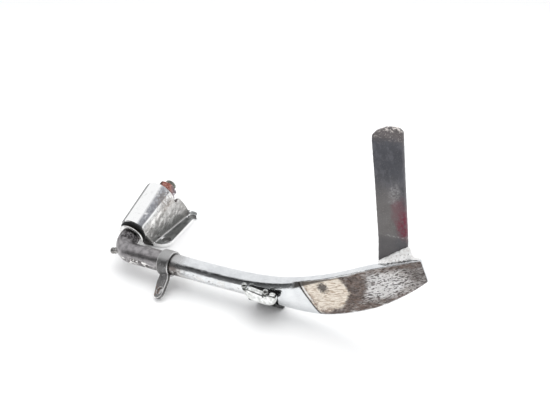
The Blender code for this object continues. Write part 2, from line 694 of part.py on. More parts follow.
# ---------------------------------------------------------------- assembly

def main():
    clear_scene()

    chrome = material("worn_chrome", (0.72, 0.73, 0.75), 1.0, 0.18)
    cast_chrome = material("clouded_chrome", (0.66, 0.66, 0.65), 1.0, 0.30)
    dark_steel = material("dark_steel", (0.16, 0.16, 0.17), 0.8, 0.45)
    bright_steel = material("bright_steel", (0.55, 0.55, 0.56), 1.0, 0.28)
    weld_steel = material("weld_steel", (0.74, 0.73, 0.70), 0.9, 0.40)
    rusty_steel = material("rusty_steel", (0.33, 0.16, 0.11), 0.5, 0.60)
    bronze = material("bronze", (0.55, 0.38, 0.18), 1.0, 0.35)
    rubber = material("black_rubber", (0.02, 0.02, 0.02), 0.0, 0.70)

    base = bpy.data.objects.new("stand_base", None)
    bpy.context.collection.objects.link(base)
    base.location = (DATUM_X, DATUM_Y, DATUM_Z)
    pivot = bpy.data.objects.new("pivot_axis", None)
    bpy.context.collection.objects.link(pivot)
    pivot.parent = base
    pivot.location = (PIVOT_X, 0, PIVOT_X * BAR_RISE)
    pivot.rotation_euler = (PIVOT_TILT - math.radians(90), 0, 0)
    seat = bpy.data.objects.new("nipple_axis", None)
    bpy.context.collection.objects.link(seat)
    seat.parent = base
    seat.rotation_euler = (0, -math.radians(90) - NIPPLE_TILT, 0)

    mounting_bracket(base, pivot, cast_chrome)
    bushes(pivot, bronze)
    dust_seal(pivot, rubber)

    leg(base, pivot, seat, chrome)
    pivot_post(pivot, bright_steel)
    cross_pin(pivot, bright_steel)
    washer("thrust_washer", THRUST_WASHER, 12.8 * MM, POST_R + GAP, pivot, bright_steel)
    wave_washer(pivot, dark_steel)
    washer("flat_washer", FLAT_WASHER, 12.2 * MM, POST_R - 0.4 * MM, pivot, rusty_steel)
    hex_nut(pivot, rusty_steel)
    spring_clip(base, dark_steel)
    kick_tab(base, dark_steel)
    tab_weld(base, weld_steel)
    bump_stop(base, rubber)
    keeper_plate(base, chrome)
    ball_stud("keeper_rivet_front", STUDS[0], base, chrome)
    ball_stud("keeper_rivet_rear", STUDS[1], base, chrome)
    grease_nipple(seat, bright_steel, bright_steel, dark_steel)


main()
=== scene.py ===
"""Looks of the kickstand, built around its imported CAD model. Lengths below are in millimetres
from the leg's datum by the elbow (x along the leg, y across it) and from the floor (z)."""

import json
import math

import bmesh
import bpy
import numpy as np
from mathutils import Matrix, Vector, noise

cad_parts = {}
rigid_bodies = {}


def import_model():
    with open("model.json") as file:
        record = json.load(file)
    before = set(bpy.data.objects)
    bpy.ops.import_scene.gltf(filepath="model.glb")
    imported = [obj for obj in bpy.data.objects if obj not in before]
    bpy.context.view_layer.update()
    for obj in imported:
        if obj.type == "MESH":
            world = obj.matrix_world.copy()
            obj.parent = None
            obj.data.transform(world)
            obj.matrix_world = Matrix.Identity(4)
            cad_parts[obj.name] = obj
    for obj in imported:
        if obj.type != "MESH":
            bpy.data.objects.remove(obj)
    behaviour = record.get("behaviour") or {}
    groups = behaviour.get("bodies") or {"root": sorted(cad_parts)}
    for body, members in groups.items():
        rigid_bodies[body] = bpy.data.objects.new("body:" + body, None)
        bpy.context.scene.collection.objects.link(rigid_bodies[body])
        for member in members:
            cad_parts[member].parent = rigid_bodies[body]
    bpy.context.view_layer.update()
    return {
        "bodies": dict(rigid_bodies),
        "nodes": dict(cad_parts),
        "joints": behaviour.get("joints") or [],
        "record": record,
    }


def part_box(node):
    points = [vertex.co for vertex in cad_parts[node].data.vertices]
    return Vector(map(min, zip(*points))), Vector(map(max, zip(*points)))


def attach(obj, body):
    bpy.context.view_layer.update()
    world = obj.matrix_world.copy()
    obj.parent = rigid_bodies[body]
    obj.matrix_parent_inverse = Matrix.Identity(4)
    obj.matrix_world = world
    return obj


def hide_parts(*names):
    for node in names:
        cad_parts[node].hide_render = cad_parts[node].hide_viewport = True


MM = 0.001
DATUM = Vector((-128.99, -43.87, 0.0))       # the datum in the row frame, mm
AXIS_HEIGHT = 19.9                           # of the leg over the floor

# Pivot
PIVOT_X = -3.0
TILT = math.radians(17.8)
ALONG = Vector((0.0, math.cos(TILT), math.sin(TILT)))
ASIDE = Vector((0.0, math.sin(TILT), -math.cos(TILT)))
LEG_WAY = Vector((1.0, 0.0, 0.010)).normalized()
PIVOT = LEG_WAY * PIVOT_X + Vector((0.0, 0.0, AXIS_HEIGHT))
BAR_R = 9.5
BEND_R = 16.5
SHOULDER = 18.0
SOCKET_R = 5.9
SOCKET_BOTTOM = 4.7


# ---- mesh helpers

def to_row(points):
    """Stand millimetres to row-frame metres."""
    return (np.asarray(points, float) + np.array(DATUM)) * MM


def linked(name, data):
    thing = bpy.data.objects.new(name, data)
    bpy.context.scene.collection.objects.link(thing)
    return thing


def finish_piece(name, mesh, body, surface, replaces=(), sharp=35.0):
    mesh.materials.clear()
    mesh.materials.append(surface)
    mesh.polygons.foreach_set("use_smooth", [True] * len(mesh.polygons))
    mesh.set_sharp_from_angle(angle=math.radians(sharp))
    piece = linked(name, mesh)
    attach(piece, body)
    if replaces:
        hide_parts(*replaces)
    return piece


def loft_faces(count, segments, close_loop=False):
    """Quads between rings, with fans of one face on both ends unless it closes on itself."""
    faces = []
    rows = count if close_loop else count - 1
    for r in range(rows):
        a, b = r * segments, ((r + 1) % count) * segments
        for s in range(segments):
            t = (s + 1) % segments
            faces.append((a + s, a + t, b + t, b + s))
    if not close_loop:
        faces.append(tuple(reversed(range(segments))))
        faces.append(tuple((count - 1) * segments + s for s in range(segments)))
    return faces


def outward(mesh):
    bm = bmesh.new()
    bm.from_mesh(mesh)
    bmesh.ops.recalc_face_normals(bm, faces=bm.faces)
    if bm.calc_volume(signed=True) < 0:
        bmesh.ops.reverse_faces(bm, faces=bm.faces)
    bm.to_mesh(mesh)
    bm.free()


def loft(name, rings, body, surface, replaces=(), close_loop=False, sharp=35.0):
    rings = np.asarray(rings, float)
    count, segments = rings.shape[:2]
    faces = loft_faces(count, segments, close_loop)
    mesh = bpy.data.meshes.new(name)
    mesh.from_pydata([tuple(p) for p in to_row(rings.reshape(-1, 3))], [], faces)
    mesh.update()
    outward(mesh)
    return finish_piece(name, mesh, body, surface, replaces, sharp)


def even_ring(center, across, up, exponent, segments):
    """A superellipse ring with its points evenly spaced, starting on the across side."""
    t = np.linspace(0, math.tau, 2881)
    x, y = (np.sign(v) * np.abs(v) ** (2 / exponent) for v in (np.cos(t), np.sin(t)))
    center, across, up = (np.array(v, float) for v in (center, across, up))
    line = center + x[:, None] * across + y[:, None] * up
    step = np.linalg.norm(np.diff(line, axis=0), axis=1)
    run = np.concatenate([[0], np.cumsum(step)])
    want = np.linspace(0, run[-1], segments, endpoint=False)
    return np.stack([np.interp(want, run, line[:, i]) for i in range(3)], axis=1)


def turned(name, profile, body, surface, replaces=(), segments=96, hollow=True, sharp=35.0,
        origin=PIVOT, way=ALONG):
    """Turn (radius, height) points round an axis of the stand."""
    side = way.cross(Vector((1, 0, 0)))
    if side.length < 0.1:
        side = way.cross(Vector((0, 1, 0)))
    side.normalize()
    other = way.cross(side)
    angles = np.linspace(0, math.tau, segments, endpoint=False)
    rings = []
    for radius, height in profile:
        center = np.array(origin + way * height)
        rings.append(center + radius * (np.cos(angles)[:, None] * np.array(side) + np.sin(angles)[:,
            None] * np.array(other)))
    return loft(name, rings, body, surface, replaces, close_loop=hollow, sharp=sharp)


def catmull(rows, steps):
    """Extra rows between the given ones along a smooth curve."""
    rows = [np.array(r, float) for r in rows]
    out = [rows[0]]
    last = len(rows) - 1
    for i in range(last):
        a, b = rows[max(i - 1, 0)], rows[i]
        c, d = rows[i + 1], rows[min(i + 2, last)]
        for k in range(1, steps + 1):
            t = k / steps
            out.append(0.5 * (b * 2 + (c - a) * t + (a * 2 - b * 5 + c * 4 - d) * t * t
                + (b * 3 - a - c * 3 + d) * t ** 3))
    return out


def fbm(point, scale, octaves=3, shift=0.0):
    """Layered noise, about -1 to 1, at a point in millimetres."""
    return noise.fractal(Vector(point) * scale + Vector((shift, shift * 0.7, -shift)), 0.8, 2.0,
        octaves)


def smoothstep(value, low, high):
    t = min(max((value - low) / (high - low), 0.0), 1.0)
    return t * t * (3 - 2 * t)


# ---- material helpers

def connect(tree, value, socket):
    """Link an output to a socket, or set a plain value on it."""
    if isinstance(value, bpy.types.NodeSocket):
        tree.links.new(value, socket)
    else:
        socket.default_value = value


class Nodes:
    """Short calls that add nodes to a tree."""

    def __init__(self, tree):
        self.tree = tree
        tree.nodes.clear()

    def put(self, kind, values, **settings):
        node = self.tree.nodes.new(kind)
        for key, value in settings.items():
            setattr(node, key, value)
        for key, value in values.items():
            connect(self.tree, value, node.inputs[key])
        return node

    def vector(self, operation, a, b):
        return self.put("ShaderNodeVectorMath", {0: a, 1: b}, operation=operation).outputs[0]

    def dot(self, a, b):
        node = self.put("ShaderNodeVectorMath", {0: a, 1: tuple(b)}, operation="DOT_PRODUCT")
        return node.outputs["Value"]

    def math(self, operation, a, b=0.0):
        return self.put("ShaderNodeMath", {0: a, 1: b}, operation=operation).outputs[0]

    def ramp(self, value, low, high, start=0.0, end=1.0):
        """Smooth change from start to end between two levels of a value."""
        return self.put("ShaderNodeMapRange", {"Value": value, "From Min": low, "From Max": high,
                                               "To Min": start, "To Max": end},
                        interpolation_type="SMOOTHSTEP").outputs[0]


class Surface(Nodes):
    """One material's node tree. Positions are stand millimetres."""

    def __init__(self, name):
        self.material = bpy.data.materials.new(name)
        self.material.use_nodes = True
        super().__init__(self.material.node_tree)
        self.shader = self.put("ShaderNodeBsdfPrincipled", {})
        self.put("ShaderNodeOutputMaterial", {"Surface": self.shader.outputs[0]})
        place = self.put("ShaderNodeTexCoord", {}).outputs["Object"]
        scaled = self.vector("MULTIPLY", place, (1000.0, 1000.0, 1000.0))
        self.place = self.vector("SUBTRACT", scaled, tuple(DATUM))
        self.height = None

    def both(self, first, *others):
        """Product of masks and plain shares."""
        for other in others:
            first = self.math("MULTIPLY", first, other)
        return first

    def either(self, a, b):
        return self.math("MAXIMUM", a, b)

    def invert(self, a):
        return self.math("SUBTRACT", 1.0, a)

    def step(self, value, low, high):
        """0 below low, 1 above high, smooth between. Low may be the larger one."""
        if low > high:
            return self.invert(self.step(value, high, low))
        return self.ramp(value, low, high)

    def noise(self, size, detail=3.0, rough=0.55, stretch=(1, 1, 1), shift=0.0):
        """Noise 0 to 1 with features about size millimetres across, longer where stretch is."""
        scale = tuple(1.0 / (size * s) for s in stretch)
        place = self.vector("MULTIPLY", self.place, scale)
        if shift:
            place = self.vector("ADD", place, (shift, shift * 1.7, -shift))
        values = {"Vector": place, "Scale": 1.0, "Detail": detail, "Roughness": rough}
        return self.put("ShaderNodeTexNoise", values).outputs["Fac"]

    def scratches(self, way, length, width, shift=0.0, low=0.60, high=0.66):
        """Thin lines along a direction."""
        way = Vector(way).normalized()
        side = way.orthogonal().normalized()
        third = way.cross(side)
        place = self.put("ShaderNodeCombineXYZ", {
            i: self.dot(self.place, axis / size)
            for i, (axis, size) in enumerate(((way, length), (side, width), (third, width)))})
        place = self.vector("ADD", place.outputs[0], (shift, -shift, shift))
        value = self.put("ShaderNodeTexNoise", {"Vector": place, "Scale": 1.0, "Detail": 1.0,
            "Roughness": 0.4}).outputs["Fac"]
        return self.step(value, low, high)

    def along(self, normal, point):
        """Signed distance in millimetres from a plane."""
        normal = Vector(normal).normalized()
        return self.math("SUBTRACT", self.dot(self.place, normal), normal.dot(Vector(point)))

    def side_of(self, normal, point, width=1.0, wobble=0.0, size=4.0):
        """1 on the side of a plane its normal points to, with a wandering border."""
        distance = self.along(normal, point)
        if wobble:
            drift = self.math("MULTIPLY", self.math("SUBTRACT", self.noise(size), 0.5), wobble * 2)
            distance = self.math("ADD", distance, drift)
        return self.step(distance, -width / 2, width / 2)

    def beyond(self, x, *border):
        return self.side_of((1, 0, 0), (x, 0, 0), *border)

    def before(self, x, *border):
        return self.invert(self.beyond(x, *border))

    def above(self, z, *border):
        return self.side_of((0, 0, 1), (0, 0, z), *border)

    def below(self, z, *border):
        return self.invert(self.above(z, *border))

    def patches(self, low, high, *size, **way):
        """Noise cut to a mask between two levels."""
        return self.step(self.noise(*size, **way), low, high)

    def blob(self, center, radii, soft=0.3, wobble=0.3, size=3.0, turn=0.0, shift=0.0):
        """1 inside a ragged ellipsoid. Turn rotates it in the x-z plane, in degrees."""
        c, s = math.cos(math.radians(turn)), math.sin(math.radians(turn))
        frame = (Vector((c, 0, s)), Vector((0, 1, 0)), Vector((-s, 0, c)))
        place = self.put("ShaderNodeCombineXYZ", {
            i: self.math("MULTIPLY", self.along(axis, center), 1.0 / radius)
            for i, (axis, radius) in enumerate(zip(frame, radii))}).outputs[0]
        far = self.put("ShaderNodeVectorMath", {0: place}, operation="LENGTH").outputs["Value"]
        drift = self.math("MULTIPLY", self.math("SUBTRACT", self.noise(size, shift=shift), 0.5),
            wobble * 2)
        return self.step(self.math("ADD", far, drift), 1.0 + soft / 2, 1.0 - soft / 2)

    def mix(self, amount, a, b):
        """Between two colours."""
        a, b = (v if isinstance(v, bpy.types.NodeSocket) else (*v, 1.0) for v in (a, b))
        return self.put("ShaderNodeMix", {0: amount, 6: a, 7: b}, data_type="RGBA").outputs[2]

    def over(self, base, tint, *shares):
        """A colour laid over another where the product of the shares says."""
        return self.mix(self.both(*shares), base, tint)

    def blend(self, amount, a, b):
        """Between two plain numbers."""
        return self.put("ShaderNodeMix", {0: amount, 2: a, 3: b}, data_type="FLOAT").outputs[0]

    def relief(self, height, depth):
        """Add to the surface's bump. Height is 0 to 1, depth in millimetres."""
        term = self.math("MULTIPLY", height, depth)
        self.height = term if self.height is None else self.math("ADD", self.height, term)

    def finish(self, color, rough, metal=1.0, **plain):
        if not isinstance(color, bpy.types.NodeSocket):
            color = (*color, 1.0)
        for key, value in (("Base Color", color), ("Roughness", rough), ("Metallic", metal)):
            connect(self.tree, value, self.shader.inputs[key])
        for key, value in plain.items():
            self.shader.inputs[key.replace("_", " ")].default_value = value
        if self.height is not None:
            bump = self.put("ShaderNodeBump", {"Height": self.height, "Strength": 1.0,
                "Distance": MM})
            self.tree.links.new(bump.outputs[0], self.shader.inputs["Normal"])
        return self.material


# ---- materials

STEP_POINT = (182.0, -4.8, 39.0)             # the worn sole starts at this slanting line
STEP_NORMAL = (0.779, 0.0, 0.628)
SOLE_START, FRONT_FACE = 165.0, -3.4         # the sole lies beyond this x and in front of this y


def leg_surface():
    s = Surface("leg_chrome_and_worn_sole")
    fine = s.noise(1.2, 4, 0.6)
    broad = s.noise(9.0, 3, 0.5)
    long_scratch = s.scratches((1, 0, 0.1), 16.0, 0.35, low=0.62, high=0.70)
    cross_scratch = s.scratches((0.5, 0.1, 0.9), 7.0, 0.3, shift=4.0, low=0.66, high=0.72)
    pits = s.patches(0.66, 0.74, 0.8, 2, 0.5, shift=7.0)

    # Clean plate
    color = s.mix(s.step(broad, 0.35, 0.7), (0.80, 0.815, 0.825), (0.72, 0.735, 0.75))
    rough = s.blend(s.step(broad, 0.4, 0.75), 0.07, 0.13)
    color = s.over(color, (0.50, 0.50, 0.52), long_scratch, 0.35)
    before_lug = s.before(120.0, 50.0, 10.0, 8.0)
    rubbed = s.both(before_lug, s.patches(0.42, 0.62, 2.2, 4, 0.65, stretch=(3, 1, 1), shift=4.4))
    rough = s.blend(rubbed, rough, 0.24)

    # Dull, stained plate round the elbow, up to the clip and a little past it
    dull = s.before(51.0, 10.0, 4.0, 6.0)
    stain = s.mix(s.patches(0.35, 0.65, 4.0, 4, 0.6, shift=2.0), (0.345, 0.325, 0.33),
        (0.165, 0.152, 0.157))
    color = s.over(color, stain, dull, 0.9)
    rough = s.blend(dull, rough, s.blend(fine, 0.22, 0.44))
    # Beside the clip: a brown stain with painted shade, darker below the bar's axis, and a strip of
    # painted shade right next to the clip
    stain_and_shade_by_clip = s.both(s.beyond(50.0, 8.0), s.before(69.0, 15.0, 5.0, 4.0))
    below = s.below(25.5, 4.0, 1.5, 3.0)
    color = s.over(color, (0.30, 0.285, 0.275), stain_and_shade_by_clip, 0.60)
    color = s.over(color, (0.15, 0.125, 0.115), stain_and_shade_by_clip, below, 0.85)
    shade = s.both(s.beyond(50.0, 4.0), s.before(59.0, 3.0, 1.5, 3.0))
    color = s.over(color, (0.06, 0.052, 0.050), shade, 0.8)
    rough = s.blend(stain_and_shade_by_clip, rough, 0.30)

    # Oily grime and painted shade on top of the elbow, under the washers
    shade_grime_zone = s.blob((-2.0, 13.5, 27.5), (15.0, 10.5, 9.5), 0.5, 0.3, 4.0, shift=5.0)
    shade_grime_noise = s.patches(0.60, 0.46, 2.4, 5, 0.7, shift=14.0)
    shade_and_grime = s.both(shade_grime_zone, shade_grime_noise)
    color = s.over(color, (0.040, 0.036, 0.038), shade_and_grime, 0.92)
    rough = s.blend(shade_and_grime, rough, 0.42)

    # Rust flecks and flaking on the lower front between clip and bump stop
    span = s.both(s.beyond(60.0, 6.0), s.before(128.0, 20.0, 10.0, 8.0))
    lower = s.both(span, s.below(23.0, 2.0, 1.5, 3.0))
    flecks = s.both(lower, s.patches(0.57, 0.64, 1.5, 5, 0.7, stretch=(1.6, 1, 1), shift=5.0))
    color = s.over(color, (0.15, 0.12, 0.10), flecks, 0.75)
    rough = s.blend(flecks, rough, 0.5)
    chalk = s.both(lower, s.patches(0.52, 0.58, 4.2, 4, 0.6, stretch=(2.5, 1, 1), shift=9.0))
    color = s.over(color, (0.86, 0.85, 0.83), chalk, 0.8)
    rough = s.blend(chalk, rough, 0.50)

    # Blistered patches with dark rims under the elbow
    blister_zone = s.blob((22.0, -8.5, 15.5), (21.0, 7.0, 6.0), 0.35, 0.35, 5.0, shift=3.0)
    blister_noise = s.noise(3.6, 3, 0.6, stretch=(1.9, 1, 1), shift=12.0)
    blister = s.both(blister_zone, s.step(blister_noise, 0.50, 0.54))
    color = s.over(color, (0.055, 0.045, 0.045), blister_zone, s.step(blister_noise, 0.44, 0.48))
    color = s.mix(blister, color, (0.92, 0.90, 0.88))
    rough = s.blend(blister, rough, 0.32)

    # Worn sole: ground steel, a cream patch by the step, rust, and lengthwise score marks
    front = s.step(s.along((0, -1, 0), (0, -3.6, 0)), 0.0, 0.5)
    sole = s.both(front, s.side_of(STEP_NORMAL, STEP_POINT, 0.6, 0.7, 3.0))
    grain_way = (0.86, 0, 0.50)
    grain = s.scratches(grain_way, 7.0, 0.8, shift=1.0, low=0.44, high=0.56)
    grain_fine = s.scratches(grain_way, 3.6, 0.38, shift=6.0, low=0.47, high=0.58)
    pitted = s.scratches(grain_way, 3.2, 1.0, shift=21.0, low=0.565, high=0.61)
    pitted = s.either(pitted, s.patches(0.585, 0.63, 1.2, 4, 0.7, stretch=(1.4, 1, 1), shift=33.0))
    steel = s.mix(grain, (0.60, 0.575, 0.565), (0.34, 0.305, 0.285))
    pale = s.blob((246.0, -4.8, 56.0), (19.0, 6.0, 12.0), 0.8, 0.5, 7.0, turn=28, shift=7.0)
    steel = s.over(steel, (0.74, 0.73, 0.73), pale, 0.75)
    dirt = s.patches(0.48, 0.62, 7.0, 4, 0.6, stretch=(1.5, 1, 1), shift=41.0)
    steel = s.over(steel, (0.16, 0.13, 0.115), dirt, s.invert(pale), 0.8)
    steel = s.over(steel, (0.88, 0.865, 0.85), grain_fine, 0.5)
    steel = s.over(steel, (0.055, 0.045, 0.042), pitted, 0.82)
    end = s.side_of((0.72, 0, 0.69), (263.0, 0, 72.0), 9.0, 5.0, 4.0)
    steel = s.over(steel, (0.085, 0.07, 0.065), end, 0.55)
    rust_noise = s.noise(6.0, 5, 0.65, stretch=(1.6, 1, 1), shift=8.0)
    low_edge = s.invert(s.side_of((-0.50, 0, 0.86), (240.0, 0, 40.5), 8.0, 5.0, 6.0))
    near_patch = s.blob((225.5, -4.8, 45.0), (10.0, 6.0, 21.0), 0.7, 0.5, 5.0, turn=-12)
    top_edge = s.side_of((-0.46, 0, 0.89), (234.0, 0, 61.5), 4.0, 4.0, 5.0)
    rusty = s.either(s.either(s.both(low_edge, s.step(rust_noise, 0.34, 0.54)), near_patch),
        s.either(s.both(top_edge, 0.7), s.step(rust_noise, 0.60, 0.72)))
    rust = s.mix(s.patches(0.38, 0.62, 1.6, 4, 0.7, stretch=(1.8, 1, 1), shift=3.0),
        (0.052, 0.033, 0.026), (0.165, 0.112, 0.088))
    steel = s.over(steel, rust, rusty, 0.88)
    cream_mask = s.blob((202.0, -4.8, 35.5), (21.5, 6.0, 16.5), 0.16, 0.22, 5.0, turn=30)
    cream = s.mix(s.scratches((1, 0, 0.25), 5.0, 0.5, shift=2.0, low=0.52, high=0.60),
        (0.88, 0.80, 0.70), (0.50, 0.39, 0.29))
    mark = s.blob((201.0, -4.8, 41.0), (4.4, 6.0, 3.6), 0.8, 0.9, 2.0, turn=-40)
    cream = s.over(cream, (0.07, 0.06, 0.055), mark, 0.9)
    tan = s.either(s.invert(s.side_of((-0.3, 0, 1), (205.0, 0, 23.0), 6.0, 5.0, 4.0)),
        s.invert(s.side_of(STEP_NORMAL, (186.5, -4.8, 39.0), 3.0, 3.0, 3.0)))
    cream = s.over(cream, (0.30, 0.225, 0.18), tan, s.patches(0.40, 0.60, 2.0, 4, 0.65, shift=17.0))
    steel = s.mix(cream_mask, steel, cream)
    color = s.mix(sole, color, steel)
    rough = s.blend(sole, rough, s.blend(grain, 0.42, 0.72))
    metal = s.blend(sole, 1.0, s.blend(cream_mask, s.blend(rusty, 0.55, 0.15), 0.15))

    # The plate's broken edge along the step, and a dark worn line along the sole's top
    edge_distance = s.along(STEP_NORMAL, STEP_POINT)
    groove = s.both(front, s.step(edge_distance, -1.2, -0.6), s.step(edge_distance, 0.5, 0.0))
    color = s.over(color, (0.035, 0.03, 0.028), groove, 0.93)
    lip = s.both(front, s.step(edge_distance, 0.4, 0.8), s.step(edge_distance, 2.4, 1.6))
    lip = s.both(lip, s.above(27.0, 6.0))
    color = s.over(color, (0.93, 0.93, 0.92), lip, 0.85)
    top_line = s.along((-0.46, 0, 0.89), (203.0, 0, 50.0))
    top_line = s.both(s.step(top_line, -2.6, -1.2), front, s.beyond(176.0, 5.0),
        s.before(216.0, 5.0, 2.0))
    color = s.over(color, (0.06, 0.05, 0.042), top_line, 0.9)
    rough = s.blend(top_line, rough, 0.6)

    s.relief(broad, 0.10)
    s.relief(s.noise(2.4, 3, 0.5, stretch=(2.5, 1, 1), shift=1.3), 0.035)
    s.relief(s.both(rubbed, s.noise(0.9, 3, 0.6, stretch=(2, 1, 1))), 0.05)
    s.relief(s.both(pits, s.invert(sole)), -0.02)
    s.relief(s.either(long_scratch, cross_scratch), -0.012)
    s.relief(s.both(dull, fine), 0.10)
    s.relief(blister, 0.30)
    s.relief(flecks, -0.05)
    s.relief(s.both(sole, grain), -0.12)
    s.relief(s.both(sole, pitted), -0.15)
    s.relief(s.both(sole, grain_fine), 0.06)
    return s.finish(color, rough, metal)


def cast_surface():
    """Clouded chrome on the bracket's casting, placed by the mesh's own masks."""
    s = Surface("bracket_clouded_chrome")
    cloud = s.noise(7.0, 5, 0.62, shift=3.0)
    fine = s.noise(1.5, 4, 0.65)
    streak = s.scratches((0.1, 0.8, 0.5), 16.0, 0.6, low=0.6, high=0.7)

    def mask(name):
        return s.put("ShaderNodeAttribute", {}, attribute_name=name).outputs["Fac"]

    # Barrel: bright plate, cloudier towards the wall, with painted reflections: a grey band next to
    # the wall and a dark line on the far edge
    color = s.mix(s.step(cloud, 0.50, 0.70), (0.96, 0.96, 0.955), (0.88, 0.88, 0.875))
    rough = s.blend(s.step(cloud, 0.36, 0.66), 0.05, 0.10)
    # Painted grey reflection band on the barrel next to the wall
    painted_reflection_band = s.both(mask("painted_reflection_band"), s.patches(0.28, 0.46, 6.0, 4, 0.55, stretch=(1, 1.6, 1),
        shift=24.0))
    reflection_band_color = s.mix(s.patches(0.36, 0.62, 3.0, 4, 0.6, shift=37.0), (0.42, 0.43, 0.46),
        (0.24, 0.245, 0.27))
    color = s.over(color, reflection_band_color, painted_reflection_band, 0.92)
    rough = s.blend(painted_reflection_band, rough, 0.22)
    # Painted dark reflection line along the barrel's edge away from the wall
    line = s.both(mask("dark_edge_reflection"), s.patches(0.30, 0.48, 7.0, 4, 0.6, shift=51.0))
    color = s.over(color, (0.05, 0.05, 0.052), line, 0.95)
    rough = s.blend(line, rough, 0.30)

    # Wall: mottled, brighter near the barrel, smooth and darker down to the fold
    wall = mask("wall")
    mottle = s.patches(0.40, 0.62, 7.0, 5, 0.60, shift=11.0)
    wall_color = s.mix(mottle, (0.60, 0.59, 0.575), (0.30, 0.29, 0.28))
    pale = s.patches(0.50, 0.62, 8.0, 5, 0.58, shift=15.0)
    wall_color = s.over(wall_color, (0.93, 0.92, 0.90), pale, 0.8)
    near_fold = s.invert(s.side_of((-0.12, -0.08, 1), (3.0, 60.0, 12.0), 9.0, 3.0, 6.0))
    wall_color = s.over(wall_color, (0.36, 0.355, 0.345), near_fold, 0.75)
    far_end = s.side_of((0, 1, 0), (0, 80.0, 0), 26.0, 6.0, 6.0)
    wall_color = s.over(wall_color, (0.30, 0.29, 0.28), far_end, 0.6)
    color = s.mix(wall, color, wall_color)
    rough = s.blend(wall, rough, s.blend(mottle, 0.24, 0.46))

    # Flange top is grey and dull; painted shade with some dirt darkens everything behind the front
    # wall, the undersides, the bore and the bolt holes
    top = mask("flange_top")
    top_color = s.mix(s.patches(0.35, 0.65, 6.0, 5, 0.6, stretch=(1, 2, 1), shift=1.0),
        (0.30, 0.31, 0.31), (0.15, 0.155, 0.155))
    color = s.over(color, top_color, top, 0.95)
    rough = s.blend(top, rough, 0.42)
    shade_and_grime = mask("shade_and_grime")
    color = s.over(color, s.mix(fine, (0.030, 0.028, 0.028), (0.09, 0.085, 0.08)), shade_and_grime, 0.96)
    rough = s.blend(shade_and_grime, rough, 0.6)
    brown = s.blob((14.0, 60.0, 47.0), (11.0, 12.0, 10.0), 0.9, 0.5, 4.0)
    brown = s.both(brown, s.either(wall, 0.8))
    brown = s.both(brown, s.patches(0.38, 0.58, 2.6, 4, 0.65, shift=2.0))
    color = s.over(color, (0.22, 0.175, 0.145), brown, 0.75)
    color = s.over(color, (0.35, 0.34, 0.33), streak, wall, 0.25)
    s.relief(s.both(cloud, s.blend(wall, 0.12, 1.0)), 0.15)
    s.relief(s.both(wall, fine), 0.03)
    s.relief(s.both(wall, mottle), -0.06)
    s.relief(s.both(wall, s.noise(1.6, 4, 0.6, shift=4.0)), 0.05)
    s.relief(s.both(streak, wall), -0.015)
    return s.finish(color, rough, 1.0)


def dark_steel_surface(name, tone, edge_tone, shine=0.85):
    """Dull dark steel with rubbed bright spots; an attribute marks its worn edges."""
    s = Surface(name)
    cloud = s.noise(8.0, 5, 0.6)
    fine = s.noise(1.1, 4, 0.7, shift=4.0)
    color = s.mix(s.step(cloud, 0.3, 0.7), tone, tuple(c * 0.62 for c in tone))
    scuff = s.scratches((0.5, 0.2, 0.85), 8.0, 0.4, low=0.62, high=0.7)
    color = s.over(color, edge_tone, scuff, 0.5)
    edge = s.put("ShaderNodeAttribute", {}, attribute_name="edge_wear").outputs["Fac"]
    worn = s.step(s.math("ADD", edge, s.math("MULTIPLY", s.math("SUBTRACT", fine, 0.5), 0.9)), 0.45,
        0.75)
    color = s.over(color, edge_tone, worn, shine)
    rough = s.blend(worn, s.blend(fine, 0.34, 0.56), 0.30)
    s.relief(fine, 0.05)
    s.relief(cloud, 0.12)
    s.relief(scuff, -0.015)
    return s, color, rough


def clip_surface():
    s, color, rough = dark_steel_surface("clip_dark_steel", (0.20, 0.197, 0.197),
        (0.88, 0.87, 0.86))
    lit = s.side_of((0, 0.2, 1), (50.0, 0.0, 27.0), 5.0, 2.0, 3.0)
    color = s.over(color, (0.50, 0.50, 0.495), lit, 0.75)
    rust = s.blob((52.0, -24.0, 6.0), (5.0, 5.0, 8.0), 0.9, 0.7, 2.0)
    rust = s.both(rust, s.patches(0.46, 0.60, 2.0, 4, 0.7, shift=6.0))
    color = s.over(color, (0.24, 0.12, 0.07), rust, 0.8)
    return s.finish(color, rough, 0.9)


